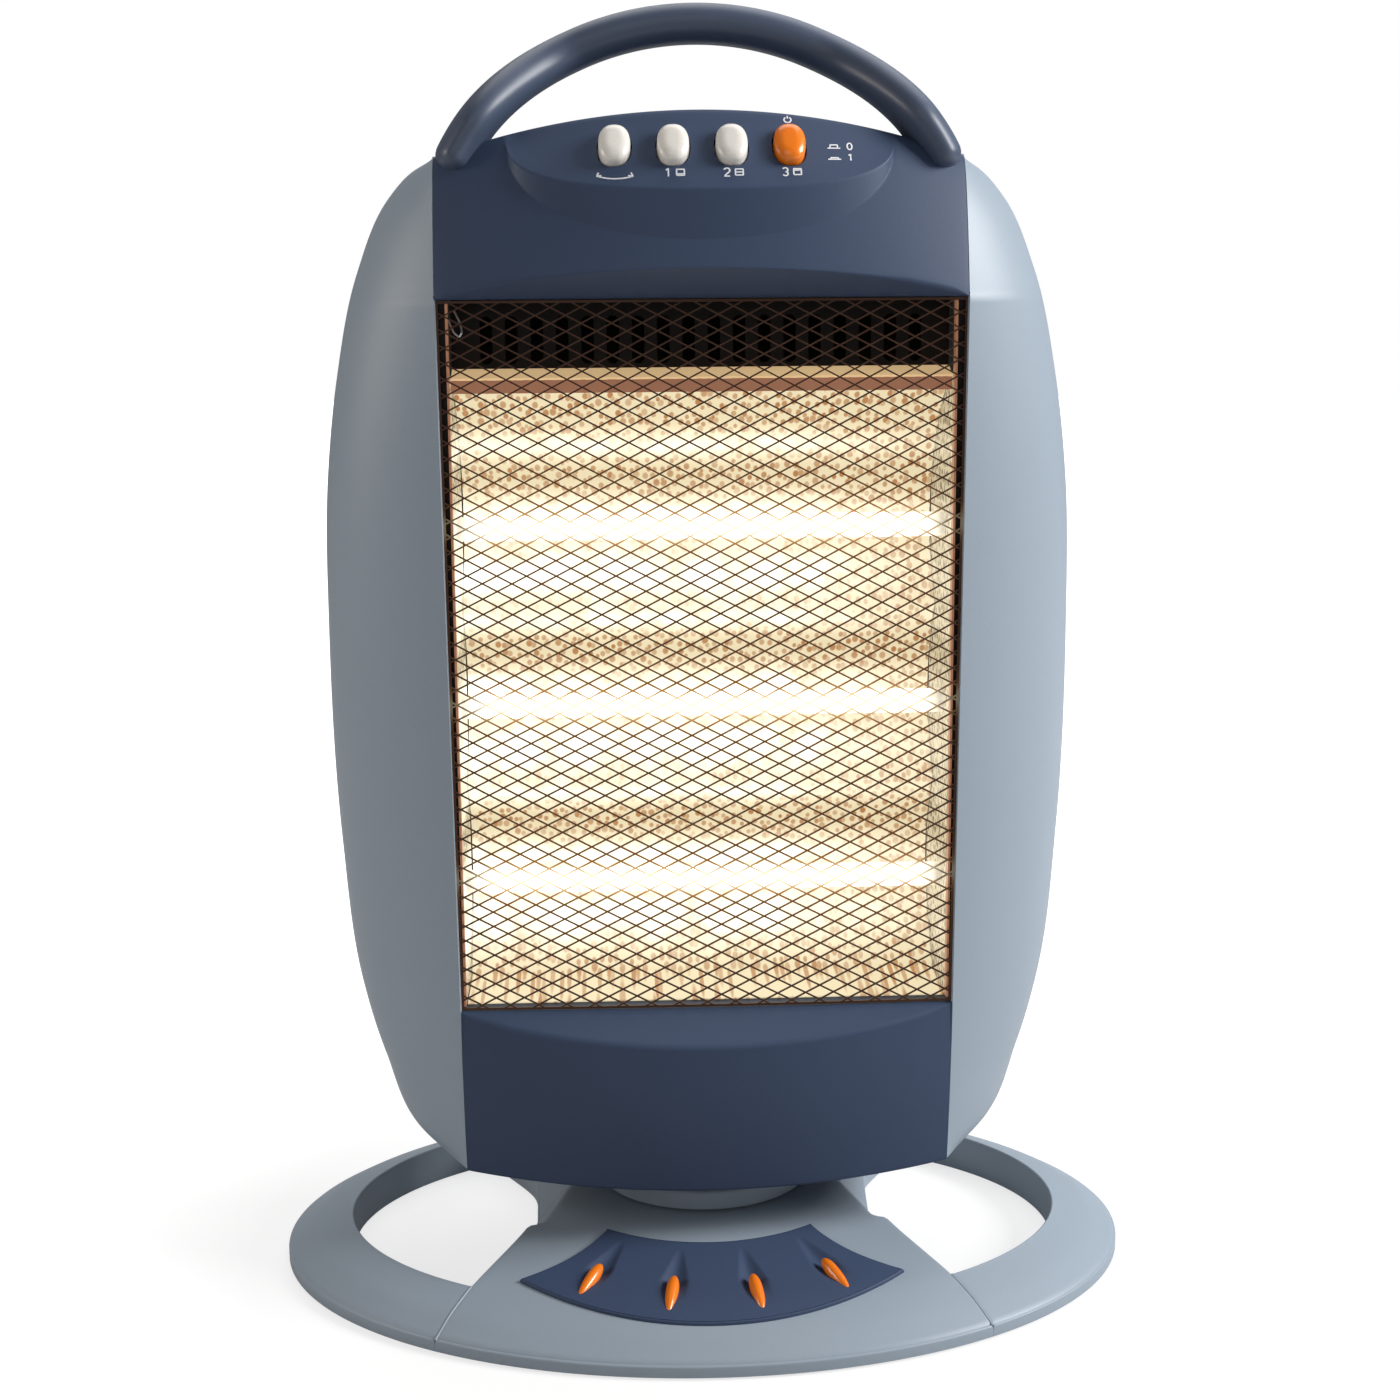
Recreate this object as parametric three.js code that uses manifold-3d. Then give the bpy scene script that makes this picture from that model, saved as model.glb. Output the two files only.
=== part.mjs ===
// Halogen heater: three quartz tubes in an oscillating head that stands on an oval ring base.
// Millimetres, +Z up. The origin is on the floor, on the swivel axis. The front faces -Y and
// +X is the right-hand side of someone who stands in front of the heater.
import * as THREE from 'three';
import { mergeGeometries, mergeVertices } from 'three/addons/utils/BufferGeometryUtils.js';
import Module from 'manifold-3d';

const wasm = await Module();
wasm.setup();

// ---------------------------------------------------------------- clearances and walls
const SEAT = 0.3; // between pieces that rest on or butt against each other
const RUN = 0.5; // around pieces that move
const WALL = 2.4; // plastic mouldings
const SHEET = 1.0; // pressed metal sheet

// ---------------------------------------------------------------- base
const BASE_HALF_WIDTH = 186;
const BASE_HALF_DEPTH = 136;
const BASE_LIFT = 1; // the mouldings stand this far above the floor, on the feet
const RIM_HEIGHT = 6;
const BEVEL_WIDTH = 12;
const CREST_HEIGHT = 13;
const RING_WIDTH_SIDE = 29; // from the rim to the opening, at the sides
const RING_WIDTH_FRONT = 27; // and on the line from front to rear
const RING_INNER_HEIGHT = 18.5;
const HUB_RADIUS = 50;
const HUB_HEIGHT = 32;
const WAIST_HALF_WIDTH = 75;
const WAIST_HALF_LENGTH = 42;
const FAN_HALF_WIDTH = 100; // where the edge of the bridge meets the ring
const FLANK_FOOT_HEIGHT = 9;
const FLANK_RUN = 16; // how far the sloping flank reaches in from the waist
const FLANK_RISE = 19;
const HUB_BOSS_RADIUS = 20;
const HUB_BOSS_BOTTOM = 10;

const INSERT_MARGIN = 17; // from the rim to the plate's front edge
const INSERT_OUTER_HALF_WIDTH = 80;
const INSERT_OUTER_SAGITTA = 39; // from the front edge back to its corners
const INSERT_HUB_MARGIN = 18; // from the hub to the plate's rear edge
const INSERT_INNER_HALF_WIDTH = 43.5;
const INSERT_INNER_SAGITTA = 19;
const INSERT_SIDE_BOW = 6;
const INSERT_PROUD = 1.6;
const INSERT_SUNK = 1.5;
const ACCENT_ANGLES = [-29.1, -9.7, 9.7, 29.1];
const ACCENT_INSET = 15; // from the plate's front edge
const ACCENT_LENGTH = 20;
const ACCENT_WIDTH = 5.6;
const ACCENT_RISE = 2.6;
const GROOVE_INSET = 31;
const GROOVE_LENGTH = 34;
const GROOVE_WIDTH = 11;
const GROOVE_DEPTH = 1.2;

const FOOT_RADIUS = 8;
const FOOT_HEIGHT = 3.2;
const FOOT_ANGLE = 24;
const WEIGHT_HALF_WIDTH = 50;
const WEIGHT_HALF_DEPTH = 62;
const WEIGHT_THICKNESS = 3;
const SCREW_RADIUS = 1.6;
const SCREW_HEAD_RADIUS = 3;
const SCREW_HEAD_HEIGHT = 2;
const SCREW_LENGTH = 9;
const SCREW_HEIGHT = 6.5;
const GLAND_RADIUS = 3.6;
const GLAND_BORE = 2.2;
const GLAND_LENGTH = 9;
const GLAND_HEIGHT = 5;
const PLUNGER_RADIUS = 2.5;
const PLUNGER_PLACE = [0, 46];
const PLUNGER_LENGTH = 14;
const TIP_SWITCH_SIZE = [20, 14, 12];

// ---------------------------------------------------------------- swivel and drive
const SPINDLE_RADIUS = 8;
const SPINDLE_BORE = 5.5;
const SPINDLE_ABOVE_YOKE = 2;
const SPINDLE_FLANGE_RADIUS = 13;
const SPINDLE_FLANGE_HEIGHT = 2.4;
const WASHER_RADIUS = 39;
const WASHER_THICKNESS = 1;
const HUB_RECESS_DEPTH = 1;
const HUB_RECESS_RADIUS = 41;
const TURNTABLE_RADIUS = 47;
const TURNTABLE_HEIGHT = 9;
const TURNTABLE_EDGE = 2.5;
const NECK_RADIUS = 30;
const FLOOR_HOLE_RADIUS = 10.5;
const NUT_RADIUS = 14;
const NUT_HEIGHT = 4;
const YOKE_HUB_RADIUS = 12.5;
const YOKE_WIDTH = 16;
const YOKE_END = 3.5; // past the far end of its slot
const YOKE_THICKNESS = 3;
const CRANK_OFFSET = 24; // motor shaft to swivel axis
const CRANK_THROW = 16.8;
const CRANK_PIN_RADIUS = 2;
const CRANK_PIN_SLACK = 1.2; // the pin in its slot, on each side
const CRANK_THICKNESS = 4;
const CRANK_HUB_RADIUS = 6;
const CRANK_ARM_HALF_WIDTH = 4;
const CRANK_LIFT = 1; // above the spindle's end
const MOTOR_RADIUS = 25;
const MOTOR_HEIGHT = 16;
const MOTOR_SHAFT_RADIUS = 2.5;
const BRACKET_HALF_WIDTH = 40;
const BRACKET_DEPTH = 46;
const BRACKET_THICKNESS = 2;
const BRACKET_LEG_HALF_DEPTH = 15;
const BRACKET_LIFT = 2.4; // above the crank

// ---------------------------------------------------------------- head
// Outline of the head seen from the front, as [half width, height], from the bottom corner up.
const HEAD_OUTLINE = [
  [104, 51], [115, 54.5], [126, 61], [140.6, 94], [149.2, 126], [155.9, 190], [158.2, 283],
  [156.5, 343], [151, 387], [140.9, 430.6], [128.5, 460.6], [118.5, 470.3], [107, 476],
];
const OUTLINE_STEPS = 16;
const ARC_STEPS = 4;
const PANEL_HALF_WIDTH_LOW = 102.6; // edge between dark covers and side shells, at the bottom
const PANEL_HALF_WIDTH_HIGH = 106.4; // and at the top
const EDGE_DEPTH_FRONT = 55; // how far that edge lies in front of the swivel axis
const EDGE_DEPTH_REAR = 50;
const EDGE_EASE = 6; // how much it draws back at the bottom
const REAR_EASE = 22; // how much the rear edge draws back at the top
const BOW_FRONT = 19; // the covers bulge forward by this much on the centre line
const BOW_REAR = 7;
const WINDOW_BOTTOM = 127;
const WINDOW_TOP = 420;
const WINDOW_DEPTH = 54;
const CRESCENT_TOP = 12;
const CRESCENT_BOTTOM = 11;
const COVER_BOTTOM = 54;
const COVER_BOTTOM_ARCH = 3.5;
const COVER_BELLY = 88; // height where the lower covers stand out furthest
const RIDGE_HEIGHT = 493;
const RIDGE_DROP = 17.5; // at the sides
const RIDGE_DEPTH = 44;
const RIDGE_DEPTH_SIDE = 30;
const RIDGE_LIP = 3.6;
const DOME_FULLNESS = 0.4; // 0 is a straight slope, 1 a quarter ellipse
const PLATEAU_HALF_WIDTH = 78;
const PLATEAU_DROP = 27.4; // ridge lip down to the lower edge of the control panel
const CHIN_DROP = 46.4; // ridge lip down to the foot of the chin below it
const CHIN_LEAN = 1;
const CROWN = 1; // the parting line of the top covers above the ridge
const OVERRUN = 2; // hollows run past the parting plane between front and rear covers

const HANDLE_SINK = 36.5; // centre of the bar's ellipse, below the head's top corners
const HANDLE_HALF_SPAN = 106.6; // centre line of the bar
const HANDLE_RISE = 90;
const HANDLE_THICKNESS = 16.4;
const HANDLE_DEPTH = 24;
const HANDLE_END_ANGLE = 14;

const BUTTON_PITCH = 22.8;
const BUTTON_DROP = 15; // from the ridge down to the middle of the buttons
const BUTTON_WIDTH = 13.6;
const BUTTON_LENGTH = 20;
const BUTTON_PROUD = 5.6;
const BUTTON_TRAVEL = 4;
const BUTTON_FLANGE = 0.8; // beyond the button's side
const BUTTON_FLANGE_DEPTH = 5; // below the control panel
const BUTTON_FLANGE_THICKNESS = 2;
const BUTTON_STEM = 2.6;
const BUTTON_STEM_LENGTH = 9;
const SWITCH_DEPTH = 19;
const SWITCH_HEIGHT = 18;
const SWITCH_MARGIN = 12; // past the middle of the outer buttons
const SWITCH_POST_BACK = 24; // behind the control panel

// ---------------------------------------------------------------- radiant window
const TUBE_HEIGHTS = [326, 251, 175];
const TUBE_DEPTH = 25; // in front of the swivel axis
const TUBE_RADIUS = 5;
const TUBE_BORE = 4;
const FILAMENT_RADIUS = 1;
const CAP_RADIUS = 9;
const CAP_LENGTH = 19;
const CAP_GRIP = 7;
const REFLECTOR_BACK = 12;
const REFLECTOR_RIDGE = 18; // depth of a trough
const REFLECTOR_FRONT = 47;
const REFLECTOR_TOP = 388;
const REFLECTOR_HALF_WIDTH = 100.6;
const VENT_DEPTH = 37;
const VENT_SLOTS = 18;
const VENT_PITCH = 10.2;
const VENT_SLOT_WIDTH = 5;
const VENT_SLOT_HEIGHT = 19;
const VENT_SLOT_CENTRE = 403.5;
const GRILLE_COLUMNS = 5;
const GRILLE_ROWS = 9;
const GRILLE_STRAND = 2.2;
const GRILLE_BORDER = 3;
const GRILLE_BULGE = 7;
const GRILLE_BULGE_EDGE = 1.5;
const REAR_SLOT_ROWS = 9;
const REAR_SLOT_PITCH = 22;
const REAR_SLOT_LENGTH = 74;
const REAR_SLOT_HEIGHT = 5;
const REAR_SLOT_PLACE = 46; // centre of each column of slots from the centre line
const REAR_SLOT_FIRST = 180;
const CUTOUT_RADIUS = 9;
const CUTOUT_HEIGHT = 8;
const CUTOUT_PLACE = 58;

// ---------------------------------------------------------------- materials
const FINISHES = {
  darkPlastic: [0x46526b, 0.55, 0],
  paleBlue: [0x9fabb6, 0.5, 0],
  handle: [0x56607a, 0.55, 0],
  ivory: [0xe8e2dc, 0.35, 0],
  orange: [0xf57c00, 0.35, 0],
  rubber: [0x1c1c1e, 0.9, 0],
  steel: [0x9a9ea3, 0.35, 1],
  darkSteel: [0x2a1c12, 0.5, 0.7],
  aluminium: [0xd9c7a8, 0.3, 1],
  quartz: [0xfff4dc, 0.1, 0],
  tungsten: [0xffb060, 0.4, 1],
  ceramic: [0xe9e4d8, 0.6, 0],
  bronzeWire: [0x3a2414, 0.4, 0.8],
  blackPlastic: [0x202226, 0.6, 0],
  whitePlastic: [0xd8d8d4, 0.5, 0],
};

function finish(key) {
  const [color, roughness, metalness] = FINISHES[key];
  return new THREE.MeshStandardMaterial({ color, roughness, metalness });
}

// ---------------------------------------------------------------- solids
const radians = THREE.MathUtils.degToRad;

// A closed geometry as a solid that can be joined and cut.
function solid(geometry) {
  const bare = geometry.clone();
  bare.deleteAttribute('normal');
  bare.deleteAttribute('uv');
  const merged = mergeVertices(bare, 1e-4);
  const index = merged.index.array;
  const kept = [];
  for (let i = 0; i < index.length; i += 3) {
    const [a, b, c] = [index[i], index[i + 1], index[i + 2]];
    if (a !== b && b !== c && c !== a) kept.push(a, b, c);
  }
  const mesh = new wasm.Mesh({
    numProp: 3,
    vertProperties: new Float32Array(merged.attributes.position.array),
    triVerts: new Uint32Array(kept),
  });
  return new wasm.Manifold(mesh);
}

function geometryOf(shape) {
  const mesh = shape.getMesh();
  const geometry = new THREE.BufferGeometry();
  geometry.setAttribute('position', new THREE.BufferAttribute(mesh.vertProperties, 3));
  geometry.setIndex(new THREE.BufferAttribute(mesh.triVerts, 1));
  const flat = geometry.toNonIndexed();
  flat.computeVertexNormals();
  return flat;
}

const union = (shapes) => shapes.reduce((sum, shape) => sum.add(shape));
const minus = (shape, cutters) => cutters.reduce((rest, cutter) => rest.subtract(cutter), shape);

function box(x0, y0, z0, x1, y1, z1) {
  const geometry = new THREE.BoxGeometry(x1 - x0, y1 - y0, z1 - z0);
  return solid(geometry.translate((x0 + x1) / 2, (y0 + y1) / 2, (z0 + z1) / 2));
}

// A cylinder that stands on the point (x, y, z0).
function post(x, y, z0, z1, radius, sides = 20) {
  const geometry = new THREE.CylinderGeometry(radius, radius, z1 - z0, sides);
  return solid(geometry.rotateX(Math.PI / 2).translate(x, y, (z0 + z1) / 2));
}

// A cylinder along X.
function bar(x0, x1, y, z, radius, sides = 14) {
  const geometry = new THREE.CylinderGeometry(radius, radius, x1 - x0, sides);
  return solid(geometry.rotateZ(Math.PI / 2).translate((x0 + x1) / 2, y, z));
}

// A flat outline in X and Y, raised from z0 to z1.
function prism(points, z0, z1) {
  const shape = new THREE.Shape(points.map(([x, y]) => new THREE.Vector2(x, y)));
  const geometry = new THREE.ExtrudeGeometry(shape, { depth: z1 - z0, bevelEnabled: false });
  return solid(geometry.translate(0, 0, z0));
}

// A skin over a row of rings with equal numbers of points, closed by a cap on the first and the
// last ring. flatten gives the two coordinates in which a cap is divided into triangles.
function loftGeometry(rings, flatten) {
  const count = rings[0].length;
  const positions = rings.flat().flatMap((p) => [p.x, p.y, p.z]);
  const faces = [];
  for (let r = 0; r + 1 < rings.length; r += 1) {
    for (let i = 0; i < count; i += 1) {
      const a = r * count + i;
      const b = r * count + ((i + 1) % count);
      faces.push([a, b, b + count], [a, b + count, a + count]);
    }
  }
  const area = (p, q, s) => (q.x - p.x) * (s.y - p.y) - (q.y - p.y) * (s.x - p.x);
  [0, rings.length - 1].forEach((r) => {
    const outline = rings[r].map(flatten);
    const turn = Math.sign(THREE.ShapeUtils.area(outline)) * (r === 0 ? -1 : 1);
    THREE.ShapeUtils.triangulateShape(outline, []).forEach(([a, b, c]) => {
      const same = area(outline[a], outline[b], outline[c]) * turn > 0;
      const corners = same ? [a, b, c] : [a, c, b];
      faces.push(corners.map((corner) => corner + r * count));
    });
  });
  const at = (i) => new THREE.Vector3().fromArray(positions, 3 * i);
  const volume = faces.reduce((sum, [a, b, c]) => sum + at(a).dot(at(b).cross(at(c))), 0);
  const index = faces.flatMap(([a, b, c]) => (volume > 0 ? [a, b, c] : [a, c, b]));
  const geometry = new THREE.BufferGeometry();
  geometry.setAttribute('position', new THREE.Float32BufferAttribute(positions, 3));
  geometry.setIndex(index);
  return geometry;
}

const loft = (rings, flatten) => solid(loftGeometry(rings, flatten));
const seenFromAbove = (p) => new THREE.Vector2(p.x, p.y);
const seenFromSide = (p) => new THREE.Vector2(p.y, p.z);

const heater = new THREE.Group();
const base = new THREE.Group();
const head = new THREE.Group();
heater.add(base, head);

function place(group, name, shape, finishKey, position = [0, 0, 0], rotation = [0, 0, 0]) {
  const geometry = shape instanceof THREE.BufferGeometry ? shape : geometryOf(shape);
  const mesh = new THREE.Mesh(geometry, finish(finishKey));
  mesh.name = name;
  mesh.position.set(...position);
  mesh.rotation.set(...rotation);
  group.add(mesh);
  return mesh;
}

// ---------------------------------------------------------------- base mouldings
const ringInnerWidth = BASE_HALF_WIDTH - RING_WIDTH_SIDE;
const ringInnerDepth = BASE_HALF_DEPTH - RING_WIDTH_FRONT;
const ELLIPSE_STEPS = 48;

function ellipseRing(halfWidth, halfDepth, z) {
  return Array.from({ length: ELLIPSE_STEPS }, (_, i) => {
    const angle = (2 * Math.PI * i) / ELLIPSE_STEPS;
    return new THREE.Vector3(halfWidth * Math.cos(angle), halfDepth * Math.sin(angle), z);
  });
}

// The oval base before its openings are cut, from the rim up over the ring to the hub. inset
// draws the rim in, drop lowers the top, bottom is where the underside lies.
function baseBlank(inset, drop, bottom) {
  const crestWidth = BASE_HALF_WIDTH - BEVEL_WIDTH;
  const crestDepth = BASE_HALF_DEPTH - BEVEL_WIDTH;
  return loft([
    ellipseRing(BASE_HALF_WIDTH - inset, BASE_HALF_DEPTH - inset, bottom),
    ellipseRing(BASE_HALF_WIDTH - inset, BASE_HALF_DEPTH - inset, RIM_HEIGHT - drop * 0.6),
    ellipseRing(crestWidth - inset / 3, crestDepth - inset / 3, CREST_HEIGHT - drop),
    ellipseRing(ringInnerWidth, ringInnerDepth, RING_INNER_HEIGHT - drop),
    ellipseRing(HUB_RADIUS, HUB_RADIUS, HUB_HEIGHT - drop),
  ], seenFromAbove);
}

const LOW = -2;
const HIGH = 100;
const THROUGH = 400; // longer than any piece that it is cut through

// The opening between bridge and ring on one side, grown outwards by grow.
function openingOutline(side, grow) {
  const halfWidth = ringInnerWidth + grow;
  const halfDepth = ringInnerDepth + grow;
  const corner = Math.acos((FAN_HALF_WIDTH - grow) / halfWidth);
  const steps = 22;
  const arc = Array.from({ length: steps + 1 }, (_, i) => {
    const angle = corner * ((2 * i) / steps - 1);
    return [side * halfWidth * Math.cos(angle), halfDepth * Math.sin(angle)];
  });
  const waist = side * (WAIST_HALF_WIDTH - grow);
  return [...arc, [waist, WAIST_HALF_LENGTH], [waist, -WAIST_HALF_LENGTH]];
}

// The seam between bridge and wing runs on from the edge of the opening, in unit length.
const fanDepth = ringInnerDepth * Math.sqrt(1 - (FAN_HALF_WIDTH / ringInnerWidth) ** 2);
const seam = new THREE.Vector2(FAN_HALF_WIDTH - WAIST_HALF_WIDTH, fanDepth - WAIST_HALF_LENGTH);
seam.normalize();
const seamStart = new THREE.Vector2(WAIST_HALF_WIDTH, WAIST_HALF_LENGTH);
const seamAcross = new THREE.Vector2(seam.y, -seam.x); // towards the wing

// A point along the seam at the rear right, moved across it towards the wing.
function seamPoint(along, across) {
  return seamStart.clone().addScaledVector(seam, along).addScaledVector(seamAcross, across);
}

// Everything that belongs to one wing, shifted away from the seam by shift.
function wingRegion(side, shift) {
  const near = seamPoint(8, shift);
  const far = seamPoint(130, shift);
  const beyond = BASE_HALF_WIDTH + 40;
  return prism([
    [side * near.x, near.y], [side * far.x, far.y], [side * beyond, far.y],
    [side * beyond, -far.y], [side * far.x, -far.y], [side * near.x, -near.y],
  ], LOW, HIGH);
}

// The upright walls on both sides of one seam.
function seamWall(side, end) {
  const half = WALL + SEAT / 2;
  const ends = [[-10, -half], [110, -half], [110, half], [-10, half]];
  const corners = ends.map(([along, across]) => seamPoint(along, across));
  return prism(corners.map((p) => [side * p.x, end * p.y]), LOW, HIGH);
}

// The space above the sloping flank beside the hub, on one side and one end, lowered by drop.
function flankSpace(side, end, drop) {
  const slope = FLANK_RISE / FLANK_RUN;
  const deckAtCorner = RING_INNER_HEIGHT + 4;
  const height = (x, y) => FLANK_FOOT_HEIGHT - drop + (WAIST_HALF_WIDTH - x) * slope
    + (y / WAIST_HALF_LENGTH) * (deckAtCorner - FLANK_FOOT_HEIGHT);
  const corners = [[45, 0], [90, 0], [90, WAIST_HALF_LENGTH], [45, WAIST_HALF_LENGTH]];
  const low = corners.map(([x, y]) => new THREE.Vector3(side * x, end * y, height(x, y)));
  const high = low.map((p) => new THREE.Vector3(p.x, p.y, HIGH));
  return loft([low, high], seenFromAbove);
}

const SIDES = [-1, 1];
const corners = SIDES.flatMap((side) => SIDES.map((end) => [side, end]));
const footWidth = (BASE_HALF_WIDTH + ringInnerWidth) / 2;
const footDepth = (BASE_HALF_DEPTH + ringInnerDepth) / 2;
const footPlaces = corners.map(([side, end]) => [
  side * footWidth * Math.cos(radians(FOOT_ANGLE)), end * footDepth * Math.sin(radians(FOOT_ANGLE)),
]);
const seamReach = seamStart.distanceTo(new THREE.Vector2(FAN_HALF_WIDTH, fanDepth));
const screwPlace = seamPoint(seamReach + 13, 0);

// A screw along +X with its head behind the origin, set across a seam.
function screwAt(side, end) {
  const screwHead = bar(-SCREW_HEAD_HEIGHT, 0, 0, 0, SCREW_HEAD_RADIUS, 12);
  const shank = bar(-0.5, SCREW_LENGTH, 0, 0, SCREW_RADIUS, 10);
  const heading = Math.atan2(end * seamAcross.y, side * seamAcross.x);
  const back = WALL + SEAT / 2 + SEAT;
  const at = screwPlace.clone().addScaledVector(seamAcross, -back);
  return { shape: screwHead.add(shank), position: [side * at.x, end * at.y, SCREW_HEIGHT], heading };
}

function screwHole(side, end) {
  const { position, heading } = screwAt(side, end);
  const radius = SCREW_RADIUS + SEAT;
  const geometry = new THREE.CylinderGeometry(radius, radius, 2 * SCREW_LENGTH, 10);
  geometry.rotateZ(Math.PI / 2).rotateZ(heading).translate(...position);
  return solid(geometry);
}

const blank = baseBlank(0, 0, BASE_LIFT);
const openings = SIDES.map((side) => prism(openingOutline(side, 0), LOW, HIGH));
const openingWalls = SIDES.map((side) => prism(openingOutline(side, WALL), LOW, HIGH));
const flanks = corners.map(([side, end]) => flankSpace(side, end, 0));
const flankSkins = corners.map(([side, end]) => flankSpace(side, end, WALL * 1.5));
const footBosses = footPlaces.map(([x, y]) => post(x, y, LOW, HIGH, FOOT_RADIUS + WALL));
const hubBoss = post(0, 0, HUB_BOSS_BOTTOM, HIGH, HUB_BOSS_RADIUS, 24);
const hollow = minus(baseBlank(WALL, WALL + 0.4, LOW), [
  ...openingWalls, ...corners.map(([side, end]) => seamWall(side, end)), ...flankSkins,
  ...footBosses, hubBoss,
]);
const footPockets = footPlaces.map(([x, y]) => post(x, y, LOW, FOOT_HEIGHT + SEAT, FOOT_RADIUS + SEAT));
const screwHoles = corners.map(([side, end]) => screwHole(side, end));
const mouldings = minus(blank, [...openings, ...flanks, hollow, ...footPockets, ...screwHoles]);

// The dark plate in the front of the bridge: an outer and an inner arc joined by hollow sides.
const insertFront = BASE_HALF_DEPTH - INSERT_MARGIN;
const insertRear = HUB_RADIUS + INSERT_HUB_MARGIN;
const accentReach = insertFront - ACCENT_INSET;
const grooveReach = insertFront - GROOVE_INSET;

function arcThrough(front, [halfWidth, depth], steps) {
  const sagitta = front - depth;
  const radius = (halfWidth ** 2 + sagitta ** 2) / (2 * sagitta);
  const half = Math.asin(halfWidth / radius);
  return Array.from({ length: steps + 1 }, (_, i) => {
    const angle = half * ((2 * i) / steps - 1);
    return [radius * Math.sin(angle), -(front - radius) - radius * Math.cos(angle)];
  });
}

function insertOutline(grow) {
  const mitre = Math.SQRT2 * grow; // the corners are nearly square
  const outerCorner = [INSERT_OUTER_HALF_WIDTH + mitre, insertFront - INSERT_OUTER_SAGITTA];
  const innerCorner = [INSERT_INNER_HALF_WIDTH, insertRear - INSERT_INNER_SAGITTA - mitre];
  const outer = arcThrough(insertFront + grow, outerCorner, 12);
  const inner = arcThrough(insertRear - grow, innerCorner, 8);
  const side = (from, to) => {
    const start = new THREE.Vector2(...from);
    const end = new THREE.Vector2(...to);
    const middle = start.clone().add(end).multiplyScalar(0.5);
    const towards = new THREE.Vector2(-Math.sign(start.x), -1).multiplyScalar(INSERT_SIDE_BOW / 2);
    const curve = new THREE.QuadraticBezierCurve(start, middle.add(towards), end);
    return curve.getPoints(4).slice(1, -1).map((p) => [p.x, p.y]);
  };
  inner.reverse();
  return [...outer, ...side(outer[outer.length - 1], inner[0]), ...inner,
    ...side(inner[inner.length - 1], outer[0])];
}

function radialSpot(reach, angle, z, length, width, rise) {
  const geometry = new THREE.SphereGeometry(1, 10, 6);
  geometry.rotateX(Math.PI / 2).scale(width / 2, length / 2, rise);
  const turn = radians(angle);
  geometry.rotateX(radians(11)).rotateZ(turn);
  return geometry.translate(reach * Math.sin(turn), -reach * Math.cos(turn), z);
}

// Height of the deck at a reach from the swivel axis, angle degrees to the side of the front.
function deckHeight(reach, angle) {
  const across = Math.sin(radians(angle)) / ringInnerWidth;
  const along = Math.cos(radians(angle)) / ringInnerDepth;
  const ringReach = 1 / Math.hypot(across, along);
  const share = (ringReach - reach) / (ringReach - HUB_RADIUS);
  return RING_INNER_HEIGHT + share * (HUB_HEIGHT - RING_INNER_HEIGHT);
}
const blankRaised = baseBlank(0, -INSERT_PROUD, BASE_LIFT);
const blankSunk = baseBlank(0, INSERT_SUNK, BASE_LIFT);
const accentHeight = (angle) => deckHeight(accentReach, angle) + INSERT_PROUD;
const grooveHeight = (angle) => deckHeight(grooveReach, angle) + INSERT_PROUD + 2;
const grooves = ACCENT_ANGLES.map((angle) => solid(
  radialSpot(grooveReach, angle, grooveHeight(angle), GROOVE_LENGTH, GROOVE_WIDTH, 2 + GROOVE_DEPTH),
));

// An accent, or its seat if grow is a clearance.
const accentSpot = (angle, grow) => solid(radialSpot(
  accentReach, angle, accentHeight(angle),
  ACCENT_LENGTH + 2 * grow, ACCENT_WIDTH + 2 * grow, ACCENT_RISE + grow,
));
const accentSeats = ACCENT_ANGLES.map((angle) => accentSpot(angle, SEAT));
const insertPlate = minus(
  prism(insertOutline(0), LOW, HIGH).intersect(blankRaised), [blankSunk, ...grooves, ...accentSeats],
);
place(base, 'base_insert', insertPlate, 'darkPlastic');
const insertPocket = prism(insertOutline(SEAT), LOW, HIGH)
  .subtract(baseBlank(0, INSERT_SUNK + SEAT, BASE_LIFT));

ACCENT_ANGLES.forEach((angle, i) => {
  place(base, `accent_${i + 1}`, accentSpot(angle, 0), 'orange');
});

const glandAt = BASE_HALF_DEPTH - 1;
const glandHole = solid(new THREE.CylinderGeometry(GLAND_RADIUS + SEAT, GLAND_RADIUS + SEAT, 30, 16)
  .translate(0, glandAt, GLAND_HEIGHT));
const hubRecess = post(0, 0, HUB_HEIGHT - HUB_RECESS_DEPTH, HIGH, HUB_RECESS_RADIUS, 40);
const hubBore = post(0, 0, LOW, HIGH, SPINDLE_RADIUS + SEAT);
const wingRegions = SIDES.map((side) => wingRegion(side, -SEAT / 2));
place(base, 'base_bridge', minus(mouldings, [
  ...wingRegions, hubRecess, hubBore, insertPocket, glandHole,
]), 'paleBlue');
place(base, 'base_wing_left', mouldings.intersect(wingRegion(-1, SEAT / 2)), 'paleBlue');
place(base, 'base_wing_right', mouldings.intersect(wingRegion(1, SEAT / 2)), 'paleBlue');

footPlaces.forEach(([x, y], i) => {
  place(base, `foot_${i + 1}`, post(0, 0, 0, FOOT_HEIGHT, FOOT_RADIUS), 'rubber', [x, y, 0]);
});

corners.forEach(([side, end], i) => {
  const screw = screwAt(side, end);
  place(base, `wing_screw_${i + 1}`, screw.shape, 'steel', screw.position, [0, 0, screw.heading]);
});

const gland = solid(new THREE.CylinderGeometry(GLAND_RADIUS, GLAND_RADIUS, GLAND_LENGTH, 16))
  .subtract(solid(new THREE.CylinderGeometry(GLAND_BORE, GLAND_BORE, THROUGH, 12)));
place(base, 'cord_gland', gland, 'blackPlastic', [0, glandAt - GLAND_LENGTH / 2 + 0.6, GLAND_HEIGHT]);

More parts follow.
